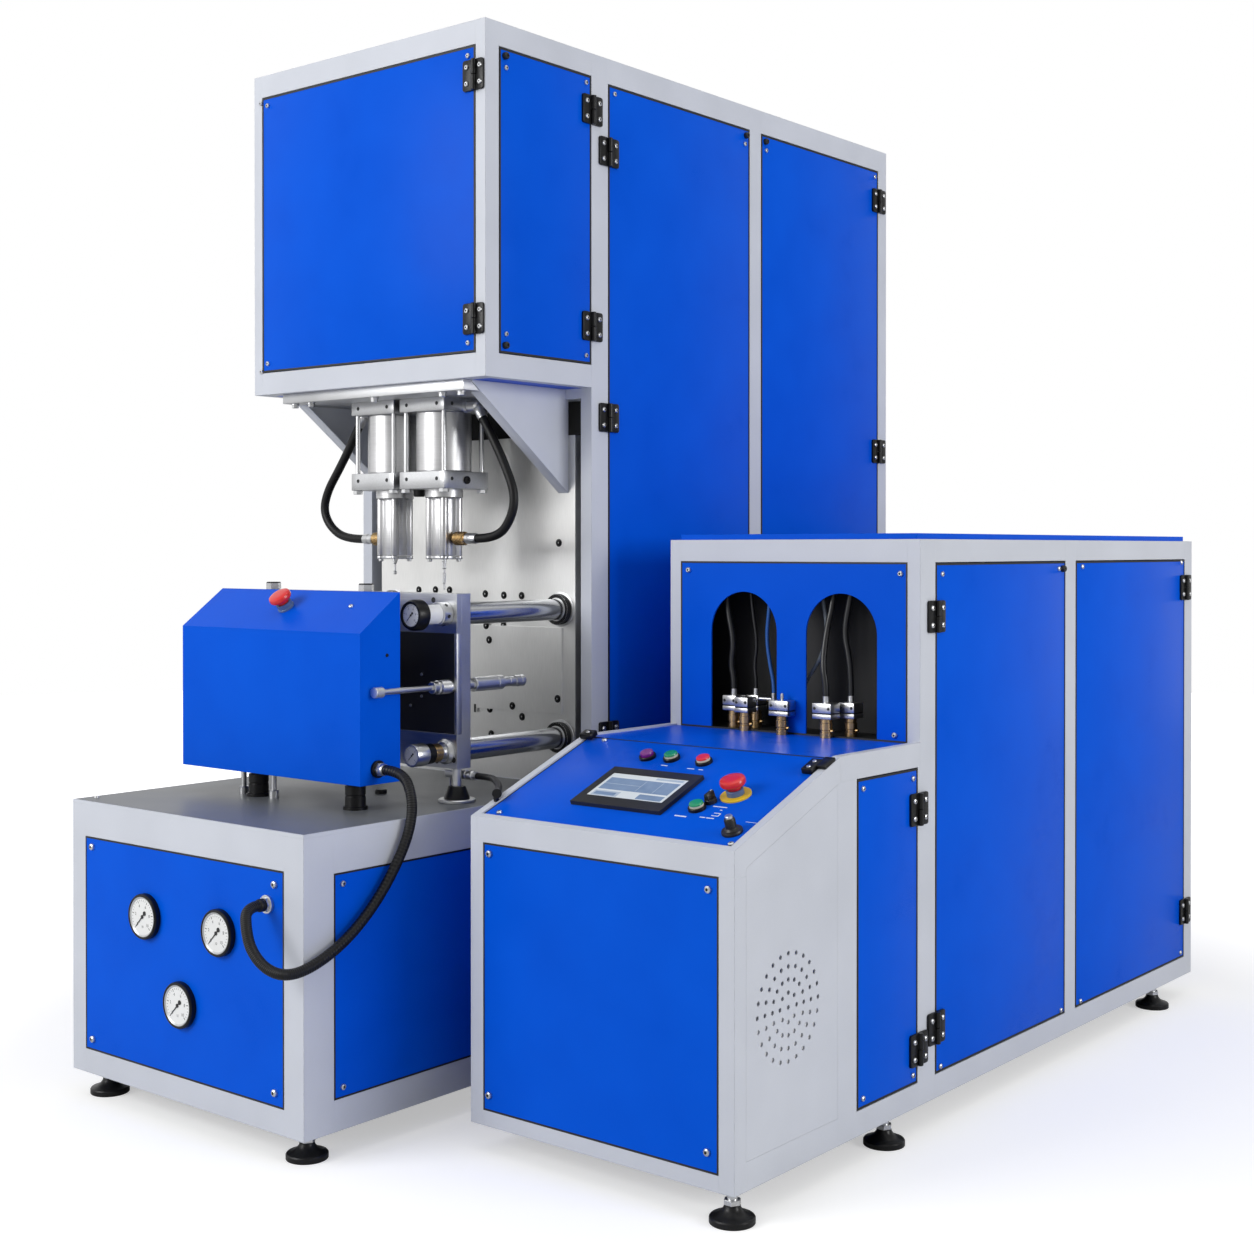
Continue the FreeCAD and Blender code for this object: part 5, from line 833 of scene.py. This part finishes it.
def pointer(name, centre, length, lift):
    """A tapered black needle with a round tail, resting on the scale's zero."""
    shape = Shape(Matrix.Translation(centre) @ Matrix.Rotation(math.radians(-135), 4, "Y"))
    turned_flat = Matrix.Translation((0, lift, 0)) @ STANDING
    wide = length * 0.05
    outline = [(wide, -length * 0.36), (wide * 0.35, length), (-wide * 0.35, length), (-wide, -length * 0.36)]
    shape.prism(outline, 0.5, dial_ink, turned_flat)
    hub = ((length * 0.13, 0), (length * 0.13, 0.7), (length * 0.09, 0.9))
    shape.lathe(hub, (0, lift, 0), FRONT, dial_ink, 24)
    tail = ((length * 0.15, 0), (length * 0.15, 0.55))
    shape.lathe(tail, (0, lift, -length * 0.36), FRONT, dial_ink, 20)
    shape.done(name + "_pointer", name, "black_steel", name)


gauges = Shape()
at = (right_bar, platen_face, high_bar)
gauges.stack(at, FRONT, (bright, 56, (20, 0), (21, 1), (21, 21), (20, 22)))
# Dark discs round the flange are painted shade of its screw holes.
for step in range(5):
    turn = math.radians(60 * step - 70)
    spot = (at[0] + 20.2 * math.cos(turn), -592, at[2] + 20.2 * math.sin(turn))
    outwards = (math.cos(turn), 0, math.sin(turn))
    gauges.lathe(((3.4, 0), (3.4, 1.1)), spot, outwards, hole_shade, 16)
gauges.stack(
    at, FRONT,
    (white_enamel, 56, (17.2, 22), (17.2, 60)),
    (black, 64, (24.6, 60), (26.9, 62.5), (26.9, 80), (24, 85.9), (20.6, 85.9), (19.6, 83.4)),
)
dial(gauges, (at[0], at[1] - 83.4, at[2]), 19.4, ("0", "2", "4", "6", "8", "10"))
at = (right_bar, platen_face, low_bar)
gauges.stack(
    at, FRONT,
    (bright, 56, (22.4, 0), (22.4, 2.4), (17.5, 8)),
    (bright, 48, (13, 8), (12, 14), (14.5, 17), (14.5, 19.5)),
    (brass, 48, (15.8, 19.5), (16.4, 20.5), (16.4, 36), (15.4, 37)),
    (black, 48, (17, 37), (17.8, 38), (17.8, 53), (17, 54)),
    (bright, 56, (18.6, 54), (19.9, 56), (19.9, 81.5), (18.9, 83.9), (17, 83.9), (16.6, 81.4)),
)
dial(gauges, (at[0], at[1] - 81.4, at[2]), 16.4, ("0", "2", "4", "6"))
for z in (low_bar, high_bar):
    gauges.lathe(((20, 0), (21, 1), (21, 15), (20, 16)), (left_bar, platen_face, z), FRONT, bright, 56)
gauges.done("platen_gauges", "clamp", "aluminium", "clamp_gauges")
needle_lift = -0.45
pointer("upper_needle", (right_bar, -664, high_bar), 14, needle_lift)
pointer("lower_needle", (right_bar, -662, low_bar), 11.5, needle_lift)


# -------- stop rod
# An adjustable stop through the platen: a knurled collar and a ribbed nut on its bright rod in
# front, and the grooved damper with its neck and cap behind.
stop = Shape()
stop_line = (-86, -393.5, 729)
turning = [(9.4, 0), (10.4, 1.4), (10.4, 9), (9.6, 10), (10.4, 11), (10.4, 24), (8.9, 24)]
turning += [(8.9, 38), (8.3, 39), (8.3, 42), (8.9, 43), (8.9, 57), (12, 57), (13, 58.4), (13, 72)]
turning += [(12.3, 73), (12.3, 75), (13, 76), (13, 129.6), (12, 131), (8, 131), (8, 153)]
stop.lathe(turning, stop_line, FRONT, bright, 48)
knurl = [(11.6, 187), (11.6, 191), (12.5, 192)]
for step in range(14):
    knurl += [(12.5, 193 + 1.6 * step), (12.1, 193.8 + 1.6 * step)]
knurl += [(12.5, 216), (12.5, 220), (10.6, 222), (10.6, 232), (9.8, 233), (5.2, 233), (5.2, 349)]
for step in range(5):
    knurl += [(9.5, 350 + 3.6 * step), (9.5, 352.2 + 3.6 * step), (8.7, 352.8 + 3.6 * step)]
knurl += [(8.6, 367.8)]
stop.lathe(knurl, stop_line, FRONT, bright, 48)
stop.done("stop_damper", "clamp", "polished_steel", "stop_rod")


# -------- deck fittings
# Two black pillars and their bolts carry the housing, a levelling support stands under the
# platen, an air manifold on a stud feeds the thin hose, and two glands hold the conduit's ends.
pillars = Shape()
for x in (-414, -156):
    post = [(21.4, 0), (21.4, 5), (20.4, 6), (17.9, 6), (17.9, 22), (17.1, 23), (17.1, 25), (17.9, 26)]
    post += [(17.9, 40), (12, 40), (12, 48)]
    pillars.lathe(post, (x, -739.5, deck_top), UP, black, 48)
for x in (-456, -372):
    bolt = ((8.9, 0), (8.9, 12.6), (7.8, 14), (5, 14), (5, 48))
    pillars.lathe(bolt, (x, -739.5, deck_top), UP, bright, 32)
pillars.stack(
    (-83, -567.5, deck_top), UP,
    (bright, 64, (31.6, 0), (32.9, 1.2), (32.9, 4.6), (31.4, 6)),
    (black, 48, (22.9, 6), (22.4, 9), (16, 26), (14.9, 28)),
    (bright, 40, (8, 28), (8, 57.8), (7.4, 58.7)),
)
pillars.slab((-126, -555.5, 564), (-86, -541.5, 578), bright, 1.2)
thread = [(0, 0)]
for step in range(19):
    thread += [(4.5, 0.2 + 2 * step), (4.1, 1.2 + 2 * step)]
pillars.lathe((*thread, (4.4, 39)), (-115, -548.5, deck_top), UP, bright, 24)
port = ((8.4, 0), (8.4, 9), (7, 10), (7, 14), (8.4, 15), (8.4, 24), (6.6, 26), (6.6, 33.8))
pillars.lathe(port, (-86, -548.5, 571), RIGHT, bright, 32)
pillars.lathe(((11, 0), (11, 6), (9.4, 7.9)), (-264.5, -580.5, deck_top), UP, black, 32)
for base, way, flange_finish, nut_finish in (
    ((-96, -744.5, 599), RIGHT, black, bright),
    ((-100, base_front, 407), FRONT, bright, black),
):
    pillars.stack(
        base, way,
        (flange_finish, 40, (14.9, 0), (14.9, 4.8), (13.8, 6)),
        (bright, 6, (12.4, 6), (12.4, 9.8)),
        (nut_finish, 40, (10.4, 9.8), (10.4, 12), (9.9, 12.6), (10.4, 13.2), (10.4, 18), (9.4, 20)),
    )
pillars.done("deck_supports", "root", "black_steel", "deck_fittings")


# -------- base gauges
# Three panel gauges in the base's front: black rims round white dials sunk three millimetres,
# each with its black needle.
liner_grey = finish("gauge_liner", (186, 188, 190), (200, 202, 204), 0.3, relief=0.02, Metallic=0.5)
panel_gauges = Shape()
for name, x, z in (
    ("base_needle_left", -420, 345),
    ("base_needle_right", -220, 345),
    ("base_needle_low", -323, 210),
):
    rim = ((38.6, 0), (38.9, 0.5), (38.9, 9), (37.4, 11.5), (35.2, 11.9), (33.9, 10.6), (33.9, 8.9))
    panel_gauges.lathe(rim, (x, base_front, z), FRONT, black, 72)
    liner = ((31, 8.9), (33.9, 8.9), (33.9, 10.9), (33.3, 11), (31, 9.2))
    panel_gauges.lathe(liner, (x, base_front, z), FRONT, liner_grey, 72, hollow=True)
    dial(panel_gauges, (x, base_front - 8.9, z), 31, ("0", "2", "4", "6", "8", "10"))
    mark = Matrix.Translation((x, base_front - 9.2, z - 17)) @ STANDING
    figure(panel_gauges, "10", 6, dial_ink, mark)
    pointer(name, (x, -984, z), 25, -0.2)
panel_gauges.done("panel_gauge_cases", "root", "white_dial", "base_gauges")


# -------- emergency stops
# Two red mushroom heads on flared stems in blue-grey collars, one on the clamp housing's slope
# and one on the console's lid inside a yellow ring. Behind the housing's top two hex bolts stand
# on small black brackets; the bolts' black tops are a painted dark reflection.
stop_red = finish("stop_red", (206, 20, 22), (222, 34, 32), 0.3, relief=0.05, Coat_Weight=0.3)
collar_grey = finish("collar_grey", (78, 100, 138), (96, 118, 154), 0.35)


def sloped(x, y, z, angle):
    """The frame of a sloping face: across, up the slope and out of it."""
    return Matrix.Translation((x, y, z)) @ Matrix.Rotation(math.radians(angle), 4, "X")


lid_angle = math.radians(21.133)
lid_place = sloped(116, -736.5 + 3 * math.sin(lid_angle), 540 - 3 * math.cos(lid_angle), 21.133)
housing_place = sloped(-579, -782.5, 829, 36.565)
for name, place, across, up in (
    ("housing_stop_button", housing_place, 234, 62),
    ("console_stop_button", lid_place, 420, 157),
):
    mushroom = Shape(place)
    head = [(9.9, 5.6), (9.9, 17.3), (14, 18.7), (19, 19.4), (20.3, 21.6), (20.4, 26)]
    head += [(19.4, 28.6), (16.4, 30.2), (9, 30.9), (0, 31)]
    mushroom.lathe(head, (across, up, 0), UP, stop_red, 64)
    mushroom.done(name + "_head", name, "red_plastic", name)
housing_trim = Shape(housing_place)
collar = ((10.6, 0), (15.4, 0), (15.4, 3), (14.2, 4), (14.2, 12.1), (10.6, 12.1))
housing_trim.lathe(collar, (234, 62, 0), UP, collar_grey, 48, hollow=True)
screws(housing_trim, Z, 0, 1, 9, [(398, 70)])
housing_trim.place = Matrix()
housing_top, housing_back, bracket_top = 850, -691.5, 876
for x in (-447, -196):
    tab_low, tab_high = (x - 15, housing_back, 872), (x + 15, -672, bracket_top)
    housing_trim.slab(tab_low, tab_high, black, 0.8)
    housing_trim.slab((x - 15, housing_back, housing_top), (x + 15, -688.5, 872), black, 0.8)
    housing_trim.lathe(((8, 0), (8, 22)), (x, -681, bracket_top), UP, bright, 32)
    housing_trim.stack(
        # The black top of each steel hex head is a painted dark reflection.
        (x, -677.8, bracket_top), UP,
        (block_steel, 6, (13, 18), (13.6, 18.8), (13.6, 31.6)),
        (black, 6, (13.6, 31.6), (12.2, 34)),
    )
housing_trim.done("housing_trim", "root", "black_plastic")
side_screw = Shape()
side_screw.lathe(((3.2, 0), (2.8, 1.4), (0, 1.8)), (-96, -722, 790), RIGHT, black, 20)
side_screw.done("housing_side_screw", "root", "black_steel")


# -------- console lid
# The sloping blue lid with its button bezels, printed dashes, two black clamps at its upper
# corners, the hose clip and three corner screws.
ink_white = finish("ink_white", (214, 220, 230), (226, 231, 238), 0.5, 1500, relief=0.02)
ring_yellow = finish("ring_yellow", (226, 184, 24), (238, 198, 38), 0.4, relief=0.05)
lid = Shape(lid_place)
lid.slab((14.6, 12.4, -3), (508.4, 298.6, 0), blue, 0.5)
# Black strips round the lid: rubber trim, and painted shade of its joint.
seal_and_gap_shade(lid, Z, 0, 1, (14, 509), (11.8, 299.1), 2.4, 3, 0.3)
screws(lid, Z, 0, 1, 10, [(503, 20), (42, 23), (55, 289)])
buttons = (
    ("purple_button", 182, 246, (116, 20, 122), (134, 34, 138), "purple_plastic"),
    ("green_button", 230, 249, (0, 134, 84), (10, 150, 98), "green_plastic"),
    ("red_button", 297, 247, (212, 18, 28), (226, 34, 40), "red_plastic"),
    ("jog_button", 382, 106, (0, 140, 88), (10, 156, 102), "green_plastic"),
)
for name, across, up, first, second, slot in buttons:
    bezel = ((11.9, 0), (14.4, 0), (14.4, 4.4), (13.6, 5.6), (12.6, 5.9), (11.9, 5.4))
    lid.lathe(bezel, (across, up, 0), UP, black, 48, hollow=True)
stop_seat = (420, 157, 0)
collar = ((10.6, 0), (13.9, 0), (13.9, 10.8), (13, 11.9), (10.6, 11.9))
lid.lathe(collar, stop_seat, UP, collar_grey, 48, hollow=True)
yellow = ((14.1, 0), (24.9, 0), (24.9, 2.4), (24.2, 2.9), (14.1, 2.9))
lid.lathe(yellow, stop_seat, UP, ring_yellow, 64, hollow=True)
for across, up, wide, high in (
    (231, 226, 13, 2.2), (286, 224, 14, 2), (306, 224, 9, 2), (385, 186, 8, 2), (416, 119, 26, 2.2),
    (424, 110, 4, 2), (368, 80, 22, 3), (407, 84, 10, 2.4), (421, 84, 14, 2.4), (424, 100, 12, 1.8),
    (430, 96, 1.8, 8), (424, 92, 12, 1.8), (498, 86, 26, 1),
):
    lid.slab((across - wide / 2, up - high / 2, 0), (across + wide / 2, up + high / 2, 0.2), ink_white, 0)
lid.slab((6, 282, 3), (32, 302, 13), black, 2)
lid.slab((487, 242, 0), (507, 278, 10), black, 2)
lid.slab((504, 256, 3), (523, 288, 9), black, 1.4)
for across, up, lift in ((19, 292, 13), (497, 250, 10), (497, 268, 10)):
    lid.lathe(((3.6, 0), (3.2, 1.2), (0, 1.6)), (across, up, lift), UP, bright, 20)
saddle = ((7.2, 0), (8, 1), (8, 15), (7.2, 16))
crosswise = lid_place.inverted().to_3x3() @ Vector((0.6423, -0.7664, 0))
lid.lathe(saddle, (6, 63.8, 12.65), crosswise, black, 32)
lid.slab((8, 49, 3), (14, 56.6, 11), black, 0.8)
lid.done("console_lid_sheet", "root", "blue_paint", "console_lid")


# -------- console controls
# Four push buttons with a light skirt under a coloured cap, a black selector with a grip, a
# black speed knob with a silver cap, and a touch screen behind glass in a black case.
skirt = finish("button_skirt", (206, 200, 178), (220, 214, 194), 0.35, relief=0.05)
for name, across, up, first, second, slot in buttons:
    cap = finish(name + "_cap", first, second, 0.28, relief=0.04, Coat_Weight=0.4)
    button = Shape(lid_place)
    button.stack(
        (across, up, 0), UP,
        (cap if "purple" in name else skirt, 48, (10.9, 3.4), (11.4, 4), (11.4, 8.6)),
        (cap, 48, (11.2, 8.6), (11.4, 9.4), (10.9, 11.2), (9.6, 12), (0, 12.25)),
    )
    button.done(name + "_head", name, slot, name)

selector = Shape(lid_place)
disc = ((9.8, 0.4), (9.8, 6.6), (8.8, 7.9))
selector.lathe(disc, (392, 129, 0), UP, knob_black, 48)
grip = ((-3.9, 4), (-3.9, 14), (-2.9, 17.4), (-1.6, 17.9), (1.6, 17.9), (2.9, 17.4), (3.9, 14), (3.9, 4))
along_grip = Matrix.Translation((392, 138, 0)) @ STANDING
selector.prism(grip, 18, knob_black, along_grip, 0.7)
selector.slab((391.3, 133, 17.8), (392.7, 137.4, 18), ink_white, 0)
selector.done("mode_selector_grip", "mode_selector", "black_plastic", "mode_selector")

speed = Shape(lid_place)
knob_place = (483, 53, 0)
knob = [(16.4, 0.4), (16.4, 3.4), (15.6, 5), (11, 5.6), (9.6, 7), (8.4, 9), (8.1, 22), (7.2, 23.8)]
speed.lathe(knob, knob_place, UP, knob_black, 48)
for step in range(18):
    flute = Matrix.Translation(knob_place) @ Matrix.Rotation(math.tau * step / 18, 4, "Z")
    speed.slab((7.8, -0.5, 9.5), (8.45, 0.5, 21.5), knob_black, 0, flute)
speed.lathe(((5.9, 23.8), (5.9, 27.2), (5.2, 28)), knob_place, UP, bright, 40)
speed.done("speed_knob_turned", "speed_knob", "black_plastic", "speed_knob")

screen_case = finish("screen_case", (20, 20, 21), (32, 32, 33), 0.38, 1200, relief=0.12, edge=0.6)
screen_glow = finish("screen_white", (222, 230, 236), (232, 238, 242), 0.12, 1500, relief=0.01)
screen_blue = finish("screen_blue", (116, 142, 178), (136, 160, 192), 0.12, 60, relief=0.01)
screen_pale = finish("screen_pale", (176, 192, 212), (190, 204, 220), 0.12, 60, relief=0.01)
screen = Shape(lid_place)
for low, high, tint in (
    ((152.2, 75.2, 0), (333, 100, 7), screen_case),
    ((152.2, 176, 0), (333, 195.8, 7), screen_case),
    ((152.2, 100, 0), (166, 176, 7), screen_case),
    ((319, 100, 0), (333, 176, 7), screen_case),
    ((166, 100, 0), (319, 176, 6), screen_glow),
    ((172, 124, 6), (312, 162, 6.12), screen_blue),
    ((172, 103, 6), (224, 119, 6.12), screen_pale),
    ((176, 106, 6.12), (218, 115, 6.2), screen_blue),
    ((262, 104, 6), (312, 119, 6.12), screen_blue),
    ((258, 167, 6), (312, 173, 6.12), screen_pale),
    ((246, 126, 6.12), (247, 160, 6.2), screen_pale),
    ((280, 126, 6.12), (281, 160, 6.2), screen_pale),
    ((172, 142, 6.12), (246, 143, 6.2), screen_pale),
):
    screen.slab(low, high, tint, 0)
screen.done("touch_screen_case", "root", "black_plastic", "touch_screen")


# -------- air valves
# Six small valves stand in the tray behind the arches: grooved silver bodies on brass posts,
# each with a silver port that takes its tube.
valve_silver = finish(
    "valve_silver", (196, 196, 196), (214, 214, 213), 0.3, 600, relief=0.12, edge=0.6, Metallic=1
)
valves = Shape()
for x, y, wide, deep, port in (
    (244, -187.5, 30, 30, 5.5),
    (285, -209.5, 29, 29, 0),
    (271, -156.5, 28, 28, 5.5),
    (374, -224.5, 40, 26, 3),
    (462, -220.5, 38, 30, 5.5),
    (489, -183.5, 31, 31, 5.5),
):
    post = [(10.9, 0), (10.9, 9), (9.6, 10), (9.6, 13), (10.9, 14), (10.9, 25), (10, 26), (10, 33)]
    valves.lathe(post, (x, y, tray_floor), UP, brass, 36)
    half, depth = wide / 2, deep / 2
    valves.slab((x - half, y - depth, 679), (x + half, y + depth, 687), valve_silver, 1)
    # A dark band between the body's two silver blocks is painted shade in its groove.
    valves.slab((x - half + 1, y - depth + 1, 687), (x + half - 1, y + depth - 1, 689), hole_shade, 0)
    valves.slab((x - half, y - depth, 689), (x + half, y + depth, 706), valve_silver, 1.2)
    # Two dark dots on each body's front are painted shade of holes.
    for a in (-1, 1):
        valves.lathe(((2.6, 0), (2.6, 0.5)), (x + a * (half - 5), y - depth, 697), FRONT, hole_shade, 16)
    if port:
        valves.lathe(((port, 0), (port, 10.9), (port - 0.8, 11.9)), (x, y, 706), UP, bright, 28)
    valves.lathe(((3, 0), (3, 4), (2.4, 5)), (x + 10, y, 658), RIGHT, brass, 20)
valves.lathe(((3.9, 0), (3.9, 31)), (285, -165, 700), RIGHT, bright, 24)
valves.lathe(((4.9, 0), (4.9, 15), (4, 16)), (316, -165, 696), UP, bright, 28)
valves.lathe(((4.9, 0), (4.9, 61), (4, 62)), (386, -177.5, tray_floor), UP, bright, 28)
valves.done("air_valve_bodies", "root", "brass", "blow_valves")


# -------- levelling feet
# Black moulded pads on threaded steel stems stand under both frames' corners, and a silver nut
# locks each stem at its height.
feet = Shape()
for x, y in (
    (-594, -929.5), (-59, -929.5), (-594, 733.5), (-59, 733.5), (134, -556.5),
    (134, -293.5), (134, 805.5), (621, -716.5), (621, -293.5), (621, 805.5),
):
    pad = ((33.4, 0), (34, 0.8), (34, 8), (32.6, 10), (24, 12.5), (17, 17), (13, 22), (12, 26))
    feet.stack(
        (x, y, 0), UP,
        (black, 56, *pad),
        (bright, 6, (12.4, 26), (13.4, 27), (13.4, 33), (12.4, 34)),
        (bright, 28, (7.9, 34), (7.9, 45)),
    )
feet.done("levelling_feet_turned", "root", "black_rubber", "levelling_feet")
